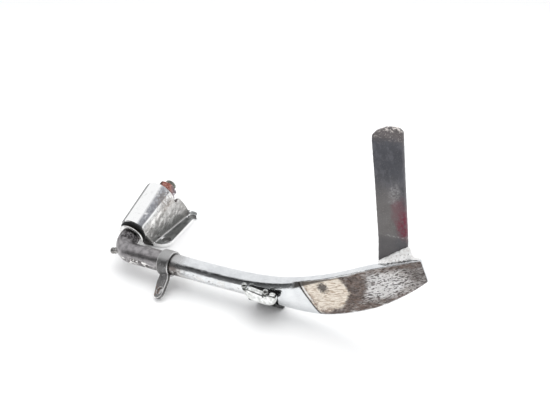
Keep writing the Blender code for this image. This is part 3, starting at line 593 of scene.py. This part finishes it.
def tab_surface():
    s, color, rough = dark_steel_surface("tab_dark_steel", (0.112, 0.111, 0.118),
        (0.36, 0.34, 0.33), 0.22)
    blue = s.above(128.0, 40.0, 14.0, 14.0)
    color = s.over(color, (0.046, 0.048, 0.060), blue, 0.7)
    streak = s.patches(0.46, 0.62, 5.0, 5, 0.62, stretch=(1, 1, 2.0), shift=27.0)
    color = s.over(color, (0.115, 0.115, 0.130), blue, streak, 0.6)
    warm = s.both(s.side_of((-1, 0, 0), (252.0, 0, 0), 8.0, 4.0, 6.0),
        s.below(135.0, 30.0, 8.0, 9.0))
    color = s.over(color, (0.17, 0.155, 0.145), warm, 0.5)
    red = s.blob((257.5, 2.5, 106.0), (6.0, 9.0, 12.0), 0.9, 0.5, 5.0)
    pale_red = s.blob((251.5, 2.5, 118.0), (5.0, 9.0, 9.0), 1.1, 0.7, 4.0, shift=3.0)
    color = s.over(color, (0.150, 0.050, 0.065), pale_red, 0.55)
    red = s.both(red, s.blend(s.patches(0.36, 0.62, 2.2, 4, 0.7, shift=23.0), 0.45, 1.0))
    color = s.over(color, (0.150, 0.012, 0.032), red, 0.9)
    smudge = s.blob((247.5, 0.0, 131.0), (3.6, 9.0, 8.0), 1.0, 0.7, 3.0, shift=5.0)
    smudge = s.both(smudge, s.patches(0.35, 0.65, 1.4, 4, 0.7, shift=9.0))
    color = s.over(color, (0.42, 0.41, 0.42), smudge, 0.45)
    side = s.side_of((1, 0, 0.13), (262.6, 0, 88.0), 2.0, 0.5)
    color = s.over(color, (0.035, 0.033, 0.036), side, 0.8)
    rough = s.blend(side, rough, 0.7)
    crown = s.above(171.5, 9.0, 4.0, 4.0)
    rim = s.side_of((-0.05, 0, 1), (241.0, 0, 177.6), 2.5, 3.0, 2.6)
    spray = s.patches(0.54, 0.62, 1.5, 6, 0.8, shift=2.0)
    flake = s.patches(0.48, 0.56, 2.6, 4, 0.65, shift=31.0)
    speck = s.either(s.both(crown, spray, 0.55), s.both(rim, flake))
    color = s.over(color, (0.16, 0.135, 0.125), crown, 0.5)
    color = s.over(color, (0.86, 0.80, 0.76), speck, 0.95)
    rough = s.blend(speck, rough, 0.6)
    # A lighter, patchy line along the bend, and painted shade on the bent part of the tab below it
    bend_line = s.both(s.above(94.5, 1.0, 1.2, 6.0), s.below(96.0, 1.0, 1.2, 6.0))
    bend_line = s.both(bend_line, s.patches(0.46, 0.60, 1.6, 4, 0.7, shift=19.0))
    color = s.over(color, (0.50, 0.49, 0.48), bend_line, 0.5)
    lower_facet_shade = s.below(94.0, 10.0, 3.0)
    color = s.over(color, (0.075, 0.072, 0.078), lower_facet_shade, 0.6)
    s.relief(speck, 0.15)
    return s.finish(color, rough, 0.45)


def nut_surface():
    """Dark on the left, red rust in the middle and bare grey metal with bright spots beyond."""
    s = Surface("rusty_steel")
    coat = s.noise(3.2, 5, 0.7)
    grain = s.noise(0.7, 4, 0.7, shift=3.0)
    across = (0.911, 0.412, 0.0)
    middle = PIVOT + ALONG * 81.0
    rust = s.mix(s.step(grain, 0.35, 0.65), (0.30, 0.085, 0.055), (0.15, 0.050, 0.040))
    pink = s.patches(0.50, 0.60, 2.6, 3, 0.6, shift=18.0)
    rust = s.over(rust, (0.52, 0.30, 0.26), pink, 0.6)
    bare = s.mix(s.step(coat, 0.42, 0.60), (0.34, 0.30, 0.33), (0.13, 0.11, 0.12))
    spot = s.patches(0.56, 0.62, 2.2, 3, 0.6, shift=8.0)
    bare = s.over(bare, (0.85, 0.84, 0.84), spot, 0.8)
    right = s.side_of(across, middle + Vector((8.2, 3.7, 0.0)), 4.0, 2.0, 3.0)
    left = s.side_of(tuple(-c for c in across), middle - Vector((1.8, 0.8, 0.0)), 3.0, 2.0, 3.0)
    color = s.mix(right, rust, bare)
    color = s.over(color, (0.075, 0.080, 0.070), left, 0.92)
    metal = s.blend(s.either(right, left), 0.15, 0.85)
    s.relief(coat, 0.10)
    s.relief(grain, 0.05)
    return s.finish(color, s.blend(right, 0.62, 0.34), metal)


def post_surface():
    s = Surface("weathered_steel")
    coat = s.noise(2.2, 4, 0.65)
    color = s.mix(s.step(coat, 0.4, 0.62), (0.44, 0.45, 0.40), (0.17, 0.175, 0.16))
    s.relief(s.noise(0.8, 4, 0.7), 0.05)
    return s.finish(color, s.blend(coat, 0.32, 0.60), 0.8)


def steel_surface(name, color_a, color_b, low, high, turning=0.0):
    """Machined steel with fine marks."""
    s = Surface(name)
    cloud = s.noise(2.6, 4, 0.6)
    color = s.mix(s.step(cloud, 0.38, 0.64), color_a, color_b)
    s.relief(s.noise(0.6, 3, 0.6), 0.02)
    s.relief(s.scratches(tuple(ALONG.cross(Vector((1, 0, 0)))), 4.0, 0.2), turning)
    return s.finish(color, s.blend(cloud, low, high), 1.0)


def weld_surface():
    s = Surface("bright_weld_metal")
    cloud = s.noise(2.6, 3, 0.55)
    color = s.mix(s.step(cloud, 0.46, 0.70), (0.93, 0.925, 0.915), (0.74, 0.72, 0.70))
    spot = s.patches(0.64, 0.70, 1.6, 3, 0.6, shift=6.0)
    color = s.over(color, (0.16, 0.13, 0.11), spot, 0.85)
    s.relief(s.noise(1.2, 3, 0.5), 0.05)
    return s.finish(color, s.blend(cloud, 0.42, 0.58), s.blend(spot, 0.35, 0.8))


def rubber_surface():
    s = Surface("black_rubber")
    dust = s.patches(0.55, 0.75, 3.0, 5, 0.65)
    color = s.over((0.008, 0.008, 0.008), (0.050, 0.046, 0.043), dust, 0.35)
    s.relief(s.noise(0.5, 3, 0.6), 0.04)
    return s.finish(color, s.blend(dust, 0.55, 0.8), 0.0, Specular_IOR_Level=0.25)


def bronze_surface():
    s = Surface("bearing_bronze")
    cloud = s.noise(2.0, 4, 0.6)
    color = s.mix(cloud, (0.48, 0.31, 0.13), (0.22, 0.13, 0.06))
    s.relief(s.noise(0.5, 3, 0.6), 0.03)
    return s.finish(color, s.blend(cloud, 0.28, 0.5), 1.0)


# ---- leg

# Top edge (x, z), bottom edge (x, z), half thickness, squareness, forward shift
FOOT_STATIONS = (
    (129, 31.4, 130, 11.9, 9.5, 2.0, 0.0),
    (146, 33.1, 149, 11.4, 9.2, 2.1, 0.0),
    (161, 35.7, 167, 10.9, 8.6, 2.3, 0.0),
    (176, 39.8, 184, 11.2, 7.6, 2.7, 0.0),
    (190, 45.0, 200, 13.2, 6.4, 3.4, 0.0),
    (203, 50.4, 215, 17.9, 5.4, 4.6, 0.0),
    (218, 58.0, 231, 25.8, 4.8, 6.5, 0.0),
    (233, 66.3, 246, 35.2, 4.8, 8.0, 0.0),
    (247, 73.4, 260, 47.2, 4.6, 8.0, 0.2),
    (260, 79.7, 271, 58.8, 3.6, 8.0, 1.2),
    (271.9, 84.9, 279.2, 69.0, 2.3, 8.0, 2.5),
)
LEG_SEGMENTS = 160
BAR_END = 112.0                              # where the round bar starts to turn into the foot


def leg_rings():
    """Socket, shoulder, elbow, bar and foot, as rings from end to end."""
    n = LEG_SEGMENTS
    rings = []

    def round_ring(center, across, up, radius):
        rings.append(even_ring(center, across * radius, up * radius, 2.0, n))

    def elbow_ring(center, turn, radius):
        inward = ALONG * math.cos(turn) + LEG_WAY * math.sin(turn)
        across = inward * math.cos(TILT) + ASIDE * math.sin(TILT)
        up = inward * math.sin(TILT) - ASIDE * math.cos(TILT)
        round_ring(PIVOT + center, across, up, radius)

    quarter = math.pi / 2
    for height, radius in ((SOCKET_BOTTOM, 0.5), (SOCKET_BOTTOM, SOCKET_R),
            (SHOULDER - 0.3, SOCKET_R), (SHOULDER, SOCKET_R + 0.3), (SHOULDER, BAR_R - 1.0),
            (SHOULDER - 0.18, BAR_R - 0.42), (SHOULDER - 0.6, BAR_R)):
        elbow_ring(ALONG * height, quarter, radius)
    steps = 40
    middle = ALONG * BEND_R + LEG_WAY * BEND_R
    for i in range(steps + 1):
        turn = quarter * (1 - i / steps)
        center = middle - ALONG * (BEND_R * math.cos(turn)) - LEG_WAY * (BEND_R * math.sin(turn))
        elbow_ring(center, turn, BAR_R)
    start, end, count = BEND_R + 1.2, BAR_END - PIVOT_X, 70
    for i in range(count + 1):
        elbow_ring(LEG_WAY * (start + (end - start) * i / count), 0.0, BAR_R)
    stations = catmull(FOOT_STATIONS, 18)
    first_x, first_top, _, first_low = FOOT_STATIONS[0][:4]
    rise = (first_top + first_low) / 2 - AXIS_HEIGHT - 1.295
    for part in (0.25, 0.5, 0.75):
        x = BAR_END + (first_x - BAR_END) * part
        rings.append(even_ring((x, 0, AXIS_HEIGHT + 0.01 * x + rise * part), (0, BAR_R, 0),
            (0, 0, BAR_R + 0.25 * part), 2.0, n))
    for row in stations:
        rings.append(foot_ring(row, n))
    last = stations[-1].copy()
    for shrink, ahead in ((0.35, 0.35), (0.9, 0.6)):
        rings.append(foot_ring(last, n, shrink, ahead))
    return rings


def foot_ring(row, n, shrink=0.0, ahead=0.0):
    top_x, top_z, low_x, low_z, half, square, forward = row
    top, low = Vector((top_x, 0, top_z)), Vector((low_x, 0, low_z))
    up = (top - low) / 2
    way = Vector((up.z, 0, -up.x)).normalized()
    center = (top + low) / 2 - Vector((0, forward, 0)) + way * (ahead - 0.6)
    long = up.length - shrink
    return even_ring(center, (0, max(half - shrink, 0.6), 0), up.normalized() * long, square, n)


def wear_sole(point):
    """Ground-down relief of the foot's front face, and the broken plate edge at the step."""
    x, y, z = point
    if y > FRONT_FACE or x < SOLE_START:
        return point
    d = (x - STEP_POINT[0]) * STEP_NORMAL[0] + (z - STEP_POINT[2]) * STEP_NORMAL[2]
    d += 0.5 * fbm(point, 0.35, 3)
    worn = smoothstep(d, 0.0, 0.8)
    groove = smoothstep(d, -0.9, -0.3) * smoothstep(-d, -0.5, 0.0)
    turned_way = Vector((0.86 * x + 0.50 * z, 0, -0.50 * x + 0.86 * z))
    marks = fbm((turned_way.x * 0.10, 0, turned_way.z * 0.9), 1.0, 4)
    lumps = fbm((x, 0, z), 0.16, 3, 5.0)
    deeper = 0.34 * worn + 0.10 * worn * marks + 0.16 * worn * lumps + 0.35 * groove
    return (x, y + deeper * smoothstep(FRONT_FACE - y, 0.0, 0.8), z)


def build_leg(surface):
    rings = [[wear_sole(point) for point in ring] for ring in leg_rings()]
    return loft("leg_forging", rings, "leg", surface, ("leg",), sharp=50.0)


# ---- bracket

BOLT_HOLES = ((10.8, 54.5), (9.4, 106.0))
FLANGE_TOP = 5.0
BARREL_START, BARREL_LENGTH = 24.9, 52.3     # along the pivot
BARREL_LOW_R, BARREL_GROWTH = 13.0, 3.6


def vertices_of(mesh):
    """Vertex coordinates, one row each, in metres."""
    co = np.empty(len(mesh.vertices) * 3)
    mesh.vertices.foreach_get("co", co)
    return co.reshape(-1, 3)


def move_vertices(mesh, co):
    mesh.vertices.foreach_set("co", co.ravel())
    mesh.update()


def remeshed(node, voxel):
    """A fine, evenly meshed copy of a CAD node, as a new mesh."""
    mesh = frame["nodes"][node].data.copy()
    mesh.materials.clear()
    helper = linked("remesh_helper", mesh)
    step = helper.modifiers.new("remesh", "REMESH")
    step.mode = "VOXEL"
    step.voxel_size = voxel * MM
    step.adaptivity = 0.0
    graph = bpy.context.evaluated_depsgraph_get()
    fine = bpy.data.meshes.new_from_object(helper.evaluated_get(graph))
    bpy.data.objects.remove(helper)
    return fine


def relax(mesh, passes, concave_only, share=0.5, keep=None):
    """Move vertices towards their neighbours. Concave-only rounds inner corners into fillets."""
    count, co = len(mesh.vertices), vertices_of(mesh)
    edges = np.empty(len(mesh.edges) * 2, int)
    mesh.edges.foreach_get("vertices", edges)
    a, b = edges.reshape(-1, 2).T
    degree = np.bincount(a, minlength=count) + np.bincount(b, minlength=count)
    corners = np.empty(len(mesh.loops), int)
    mesh.loops.foreach_get("vertex_index", corners)
    quads = corners.reshape(-1, 4) if len(corners) == 4 * len(mesh.polygons) else None
    for _ in range(passes):
        total = np.zeros_like(co)
        np.add.at(total, a, co[b])
        np.add.at(total, b, co[a])
        move = total / degree[:, None] - co
        if concave_only and quads is not None:
            p = co[quads]
            normal = np.cross(p[:, 2] - p[:, 0], p[:, 3] - p[:, 1])
            at = np.zeros_like(co)
            for k in range(4):
                np.add.at(at, quads[:, k], normal)
            at /= np.linalg.norm(at, axis=1)[:, None] + 1e-12
            out = np.einsum("ij,ij->i", move, at)
            limit = 0.004 * MM
            weight = np.clip((out - limit) / (3 * limit), 0.0, 1.0)
            move = at * (out * weight)[:, None]
        if keep is not None:
            move = move * keep[:, None]
        co += move * share
    move_vertices(mesh, co)


def round_barrel(stand):
    """Height along the pivot, distance from it, share of the barrel's length, angle round the
    barrel's own axis in degrees, and distance outside its surface."""
    from_axis = stand - np.array(PIVOT)
    height = from_axis @ np.array(ALONG)
    out = from_axis - height[:, None] * np.array(ALONG)
    part = np.clip((height - BARREL_START) / BARREL_LENGTH, 0.0, 1.0)
    x = out[:, 0] + 1.6 + 0.1 * part
    aside = out @ np.array(ASIDE) + 1.0 + 0.5 * part
    shell = BARREL_LOW_R + BARREL_GROWTH * part
    angle = np.degrees(np.arctan2(aside, x))
    return height, np.linalg.norm(out, axis=1), part, angle, np.hypot(x, aside) - shell


def barrel_share(stand):
    """1 on the barrel's outer face, 0 on the wall, flange, end faces and bore."""
    height, _, _, _, gap = round_barrel(stand)
    share = np.clip((0.5 - np.abs(gap)) / 0.3, 0.0, 1.0)
    return share * np.clip((height - 26.4) / 0.8, 0, 1) * np.clip((75.6 - height) / 0.8, 0, 1)


def bracket_masks(mesh, stand):
    """Wall, flange top, painted shade with some dirt on inner faces, and two painted reflection
    bands on the barrel, told apart by place and facing.
    """
    facing = np.empty(len(mesh.vertices) * 3)
    mesh.vertex_normals.foreach_get("vector", facing)
    facing = facing.reshape(-1, 3)
    height, radius, part, angle, gap = round_barrel(stand)
    x, y, z = stand.T
    over_flange = z > FLANGE_TOP + 1.0
    past_barrel = height > 78.0
    outside = np.clip((gap - 0.35) / 0.4, 0.0, 1.0)
    wall = outside * (facing[:, 0] > 0.25) * np.clip((z - 5.4) / 0.8, 0.0, 1.0)
    wall = np.maximum(wall, past_barrel * over_flange)
    top = np.clip((facing[:, 2] - 0.75) / 0.2, 0.0, 1.0) * (z < FLANGE_TOP + 1.0) * (x > 2.6)
    face = 3.3 + 0.27 * np.clip(z - FLANGE_TOP, 0.0, 22.0)
    near_end = (y < 60.0) * (facing[:, 1] < -0.45)
    # Painted shade with some dirt: behind the front wall, on end faces, in the bore, on undersides
    # and in the bolt holes
    shade_and_grime = np.clip((face - 2.6 - x) / 0.8, 0.0, 1.0) * np.clip((gap - 0.3) / 0.8, 0.0, 1.0)
    shade_and_grime = np.maximum(shade_and_grime, near_end * (x < face - 1.4) * outside)
    shade_and_grime = np.maximum(shade_and_grime, (radius < 10.5) & (height > 20.0))
    shade_and_grime = np.maximum(shade_and_grime, (facing[:, 2] < -0.5) * over_flange * outside)
    shade_and_grime = np.maximum(shade_and_grime, (facing[:, 0] < -0.5) * past_barrel * over_flange)
    for hole_x, hole_y in BOLT_HOLES:
        inside = (np.hypot(x - hole_x, y - hole_y) < 5.0) * (z < 4.3)
        shade_and_grime = np.maximum(shade_and_grime, 0.75 * inside)
    body = (1.0 - outside) * (height > 24.0) * (height < 78.0)
    # Painted grey reflection band on the barrel next to the wall
    reflection_band_edge = 57.0 + 12.0 * part
    painted_reflection_band = body * np.clip((angle + reflection_band_edge) / 10.0, 0, 1) * np.clip((-27.0 - angle) / 4.0, 0, 1)
    # Painted dark reflection line along the barrel's edge away from the wall
    dark_edge_reflection = body * np.clip((-111.0 - angle) / 9.0, 0, 1)
    for name, values in (("wall", wall), ("flange_top", top), ("shade_and_grime", shade_and_grime), ("painted_reflection_band", painted_reflection_band),
            ("dark_edge_reflection", dark_edge_reflection)):
        layer = mesh.attributes.new(name, "FLOAT", "POINT")
        layer.data.foreach_set("value", np.ascontiguousarray(values, dtype=np.float32))


def build_bracket(surface):
    mesh = remeshed("mounting_bracket", 0.5)
    relax(mesh, 3, False)
    relax(mesh, 120, True)
    relax(mesh, 2, False)
    co = vertices_of(mesh)
    stand = co / MM - np.array(DATUM)
    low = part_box("mounting_bracket")[0].z
    barrel = barrel_share(stand)
    for i, p in enumerate(stand):
        lump = fbm(p, 0.12, 3, 2.0) * 0.10 + fbm(p, 0.5, 2, 7.0) * 0.03
        co[i] += np.array((0.4, 0.2, 0.0)) * lump * (1.0 - 0.9 * barrel[i]) * MM
    co[:, 2] = np.where(co[:, 2] < low + 0.3 * MM, np.maximum(co[:, 2], low), co[:, 2])
    move_vertices(mesh, co)
    relax(mesh, 24, False, keep=barrel)
    bracket_masks(mesh, stand)
    return finish_piece("bracket_casting", mesh, "bracket", surface,
        ("mounting_bracket",), sharp=60.0)


# ---- small pieces

def edge_wear(mesh, reach):
    """Store how close each vertex is to a convex edge, for the worn-edge colour."""
    bm = bmesh.new()
    bm.from_mesh(mesh)
    bm.normal_update()
    values = []
    for v in bm.verts:
        bend = 0.0
        for e in v.link_edges:
            if len(e.link_faces) == 2 and e.is_convex:
                bend = max(bend, e.calc_face_angle(0.0))
        values.append(min(bend / math.radians(reach), 1.0))
    bm.free()
    layer = mesh.attributes.new("edge_wear", "FLOAT", "POINT")
    layer.data.foreach_set("value", values)


def build_softened(name, node, surface, voxel, passes, fillets=0, reach=0.0):
    """A finely meshed copy of a CAD node with rounded edges, and fillets and wear if asked."""
    mesh = remeshed(node, voxel)
    relax(mesh, passes, False)
    relax(mesh, fillets, True)
    if reach:
        edge_wear(mesh, reach)
    return finish_piece(name, mesh, "leg", surface, (node,), 60.0)


def build_tab(surface):
    mesh = remeshed("kick_tab", 0.6)
    relax(mesh, 5, False)
    co = vertices_of(mesh)
    stand = co / MM - np.array(DATUM)
    for i, p in enumerate(stand):
        burr = smoothstep(p[2], 168.0, 178.0)
        lump = 0.10 * fbm(p, 0.06, 2, 3.0) + 0.30 * burr * fbm(p, 0.45, 3, 9.0)
        co[i] += np.array((0.2 * lump, lump, 0.4 * lump * burr)) * MM
    move_vertices(mesh, co)
    edge_wear(mesh, 30.0)
    return finish_piece("tab_bar", mesh, "leg", surface, ("kick_tab",), 60.0)


def build_post(surface):
    """Post with a real thread on its free end."""
    pitch, crest, root = 1.75, 5.95, 5.15
    start, end, chamfer = 79.2, 95.6, 94.7
    segments = 72
    side, other = Vector((1, 0, 0)), ALONG.cross(Vector((1, 0, 0)))
    turns = [i / segments for i in range(segments)]

    def ring(height, radii):
        return [tuple(PIVOT + ALONG * height + side * (r * math.cos(math.tau * turn)) + other
            * (r * math.sin(math.tau * turn))) for turn, r in zip(turns, radii)]

    def thread_radius(height, turn):
        phase = ((height / pitch - turn) % 1.0) * 2 - 1
        depth = max(0.0, min(1.0, (1 - abs(phase)) * 1.35 - 0.1))
        fade = smoothstep(chamfer - height, 0.0, 0.8) * smoothstep(height, start, start + 1.2)
        return root + (crest - root) * (1 - (1 - depth) * fade)

    rings = [ring(height, [radius] * segments) for radius, height in ((0.4, 5.0), (4.6, 5.0),
        (5.6, 6.0), (5.6, 18.3), (6.95, 18.3), (6.95, 77.9), (5.5, 78.9))]
    rows = int((end - start) / 0.22)
    for r in range(rows + 1):
        height = start + (chamfer - start) * r / rows
        rings.append(ring(height, [thread_radius(height, turn) for turn in turns]))
    for radius, height in ((5.5, end - 0.45), (4.9, end - 0.05), (4.2, end), (0.4, end)):
        rings.append(ring(height, [radius] * segments))
    return loft("threaded_post", rings, "leg", surface, ("pivot_post",), sharp=50.0)


def build_weld(surface):
    """Lumpy weld that fills the corner between the foot's top edge and the tab."""
    # x, underside z, crest z, front y
    sections = (
        (240.6, 70.6, 71.6, 2.4), (241.6, 70.9, 72.6, 1.4), (243.4, 71.8, 74.5, 0.6),
        (245.3, 72.7, 76.1, 0.2), (247.2, 73.6, 77.3, -0.7), (249.0, 74.5, 79.2, -0.4),
        (251.0, 75.5, 81.0, -1.2), (253.0, 76.5, 82.9, -0.9), (255.0, 77.4, 84.3, -1.6),
        (257.0, 78.4, 86.3, -1.2), (259.0, 79.4, 87.5, -1.8), (260.8, 80.2, 88.9, -1.3),
        (262.2, 80.8, 88.3, -1.6), (263.4, 81.4, 86.0, -0.8), (264.6, 81.9, 84.2, -0.4),
        (266.5, 82.7, 84.0, -1.2), (268.6, 83.6, 84.7, -1.8), (270.4, 84.2, 84.9, -2.2),
    )
    back = 4.95
    corner = ((0.0, 0.0), (0.5, 0.0), (0.90, 0.0), (1.0, 0.12), (0.97, 0.32), (0.74, 0.55),
              (0.44, 0.78), (0.18, 0.97), (0.0, 1.0))
    shape = catmull(corner, 5)
    rings = []
    rows = catmull(sections, 6)
    for i, (x, low, crest, front) in enumerate(rows):
        t = i / (len(rows) - 1)
        rear = back - 4.4 * smoothstep(x, 264.0, 267.0)
        ripple = 0.35 * math.cos(math.tau * (x + 0.3 * low) / 3.1) * smoothstep(t, 0.0, 0.15)
        ring = []
        for y, z in shape:
            place = Vector((x + ripple * y * 0.8, rear - (rear - front) * y,
                low + (crest - low) * z))
            lump = fbm(place, 0.55, 3, 4.0) * 0.42 * smoothstep(y + z, 0.1, 0.6)
            place += Vector((0.2, -0.75, 0.6)) * (lump + 0.25 * ripple)
            place.y = min(place.y, back)
            ring.append(tuple(place))
        rings.append(ring)
    return loft("weld_fillet", rings, "leg", surface, ("kick_tab_weld",), sharp=60.0)


KEEPER_OUTLINE = ((135.3, 28.2), (137.6, 24.2), (140.4, 21.0), (143.6, 19.2), (148.0, 18.6),
                  (154.0, 18.4), (159.4, 18.6), (162.6, 19.6), (164.7, 21.6), (165.6, 24.2),
                  (165.4, 26.8), (164.0, 28.8), (161.6, 29.3), (159.4, 28.7), (158.6, 27.9),
                  (157.4, 27.1), (156.2, 26.9), (155.0, 27.1), (153.9, 27.8), (152.6, 28.2),
                  (149.0, 28.6), (144.4, 29.2), (141.4, 29.4), (140.0, 28.9), (139.0, 28.1),
                  (137.6, 27.5), (136.4, 27.8))


def build_keeper(surface):
    """Crowned, bean-shaped chromed plate with hollows under both studs."""
    ring = list(KEEPER_OUTLINE) + [KEEPER_OUTLINE[0]]
    line = np.array(catmull(ring, 6))[:-1]
    middle = np.array((151.0, 23.6))
    rows = ((1.0, -12.6), (1.0, -13.4), (1.0, -15.4), (0.985, -16.2), (0.95, -16.75), (0.90, -17.1),
            (0.82, -17.35), (0.70, -17.55), (0.55, -17.72), (0.38, -17.85), (0.2, -17.92),
            (0.05, -17.95))
    rings = []
    for reach, y in rows:
        ring = []
        for x, z in line:
            px, pz = middle + (np.array((x, z)) - middle) * reach
            dent = 0.16 * fbm((px, 0.0, pz), 0.16, 3, 6.0) * (1 - reach * 0.6)
            dent += 0.45 * math.exp(-((px - 147.0) ** 2 + (pz - 23.0) ** 2) / 6.0)
            ring.append((px, y + dent, pz))
        rings.append(ring)
    return loft("keeper_bean", rings, "leg", surface, ("keeper_plate",), sharp=50.0)


STUD_R, STUD_Y = 2.6, -14.9


def build_stud(name, x, z, surface, node):
    """Ball head."""
    center = Vector((x, STUD_Y, z))
    profile = []
    for i in range(25):
        angle = math.radians(-82 + 172 * i / 24)
        profile.append((STUD_R * math.cos(angle), STUD_R * math.sin(angle)))
    profile[-1] = (0.05, profile[-1][1])
    profile.insert(0, (0.05, profile[0][1]))
    return turned(name, profile, "leg", surface, (node,), segments=48, hollow=False,
        origin=center, way=Vector((0, -1, 0)), sharp=60.0)


def build_ring(name, node, body, surface, profile):
    return turned(name, profile, body, surface, (node,), sharp=60.0)


SEAL_PROFILE = ((11.3, 22.0), (12.7, 22.0), (13.2, 22.25), (13.6, 22.8), (13.7, 23.3),
                (13.6, 23.8), (13.2, 24.35), (12.7, 24.6), (11.3, 24.6))
THRUST_PROFILE = ((7.3, 18.3), (12.2, 18.3), (12.6, 18.45), (12.8, 18.85), (12.8, 19.75),
                  (12.6, 20.15), (12.2, 20.3), (7.3, 20.3))


# ---- stage

CAMERA_PLACE = Vector((311.6, -340.1, 300.0))
CAMERA_RIGHT = Vector((0.9112762, 0.4117956, 0.0))
CAMERA_UP = Vector((-0.1933263, 0.4278183, 0.8829476))


def add_camera():
    data = bpy.data.cameras.new("camera")
    camera = linked("camera", data)
    back = CAMERA_RIGHT.cross(CAMERA_UP)
    turn = Matrix((CAMERA_RIGHT, CAMERA_UP, back)).transposed().to_4x4()
    turn.translation = (CAMERA_PLACE + DATUM) * MM
    camera.matrix_world = turn
    data.lens = 36.0
    data.sensor_width = 36.0
    data.clip_start = 0.01
    bpy.context.scene.camera = camera


def add_floor():
    mesh = bpy.data.meshes.new("floor")
    reach = 6.0
    level = -0.02 * MM
    mesh.from_pydata([(-reach, -reach, level), (reach, -reach, level), (reach, reach, level),
        (-reach, reach, level)], [], [(0, 1, 2, 3)])
    floor = linked("floor", mesh)
    s = Surface("white_paper")
    color = s.mix(s.noise(60.0, 2, 0.5), (0.975, 0.975, 0.97), (0.96, 0.96, 0.96))
    mesh.materials.append(s.finish(color, 0.8, 0.0))


def add_world():
    """Bright overhead and behind, dark behind the camera, as in a small photo tent. Mirrors see
    this pattern; everything else is lit evenly."""
    world = bpy.data.worlds.new("studio")
    bpy.context.scene.world = world
    world.use_nodes = True
    sky = Nodes(world.node_tree)
    way = sky.put("ShaderNodeTexCoord", {}).outputs["Generated"]
    toward = Vector((0.412, -0.911, 0.0)) * math.tan(math.radians(74.0))
    bright = sky.ramp(sky.dot(way, (toward.x, toward.y, -1.0)), -0.05, 0.35, 1.0, 0.0)
    low_glow = sky.ramp(sky.dot(way, (0.0, 0.0, 1.0)), 0.0, 0.70, 0.20, 0.035)
    mirror = sky.math("MAXIMUM", bright, low_glow)
    is_glossy = sky.put("ShaderNodeLightPath", {}).outputs["Is Glossy Ray"]
    plain = sky.math("MULTIPLY", sky.math("SUBTRACT", 1.0, is_glossy), 1.02)
    strength = sky.math("ADD", sky.math("MULTIPLY", mirror, is_glossy), plain)
    glow = sky.put("ShaderNodeBackground", {"Color": (0.985, 0.99, 1.0, 1.0), "Strength": strength})
    sky.put("ShaderNodeOutputWorld", {"Surface": glow.outputs[0]})


def add_light(name, place, target, size, power):
    data = bpy.data.lights.new(name, "AREA")
    data.shape = "SQUARE"
    data.size = size
    data.energy = power
    light = linked(name, data)
    light.location = Vector(place)
    light.rotation_euler = (Vector(target) - light.location).to_track_quat("-Z", "Y").to_euler()
    light.visible_glossy = False


# ---- everything

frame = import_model()
bpy.context.scene.view_settings.view_transform = "Standard"

add_camera()
add_floor()
add_world()
add_light("overhead", (-0.13, 0.30, 1.3), (0.0, 0.0, 0.0), 1.1, 7.0)

chrome = leg_surface()
casting = cast_surface()
black = rubber_surface()
bright = steel_surface("bright_washer_steel", (0.86, 0.86, 0.85), (0.62, 0.61, 0.60), 0.10, 0.22,
    0.01)
dull = steel_surface("dull_steel", (0.44, 0.43, 0.42), (0.24, 0.23, 0.22), 0.25, 0.45, 0.01)
lug_chrome = steel_surface("lug_chrome", (0.90, 0.91, 0.90), (0.62, 0.63, 0.61), 0.07, 0.16, 0.0)
stud_chrome = steel_surface("stud_chrome", (0.62, 0.63, 0.62), (0.20, 0.20, 0.19), 0.10, 0.24, 0.0)
bronze = bronze_surface()

build_leg(chrome)
build_bracket(casting)
build_softened("clip_strap", "spring_clip", clip_surface(), 0.30, 4, 40, 20.0)
build_tab(tab_surface())
build_weld(weld_surface())
build_keeper(lug_chrome)
build_stud("stud_ball_front", 137.0, 30.6, stud_chrome, "keeper_rivet_front")
build_stud("stud_ball_rear", 156.2, 30.0, stud_chrome, "keeper_rivet_rear")
build_softened("bump_rubber", "bump_stop", black, 0.45, 10)
build_softened("rusty_nut", "pivot_nut", nut_surface(), 0.28, 4)
build_post(post_surface())
build_ring("seal_ring", "dust_seal", "bracket", black, SEAL_PROFILE)
build_ring("thrust_disc", "thrust_washer", "leg", bright, THRUST_PROFILE)

for node, surface in (("lower_bush", bronze), ("upper_bush", bronze), ("wave_washer", dull),
        ("flat_washer", nut_surface()), ("post_pin", bright), ("grease_nipple", dull),
        ("nipple_ball", bright), ("nipple_spring", dull)):
    carried = frame["nodes"][node]
    carried.data.materials.clear()
    carried.data.materials.append(surface)
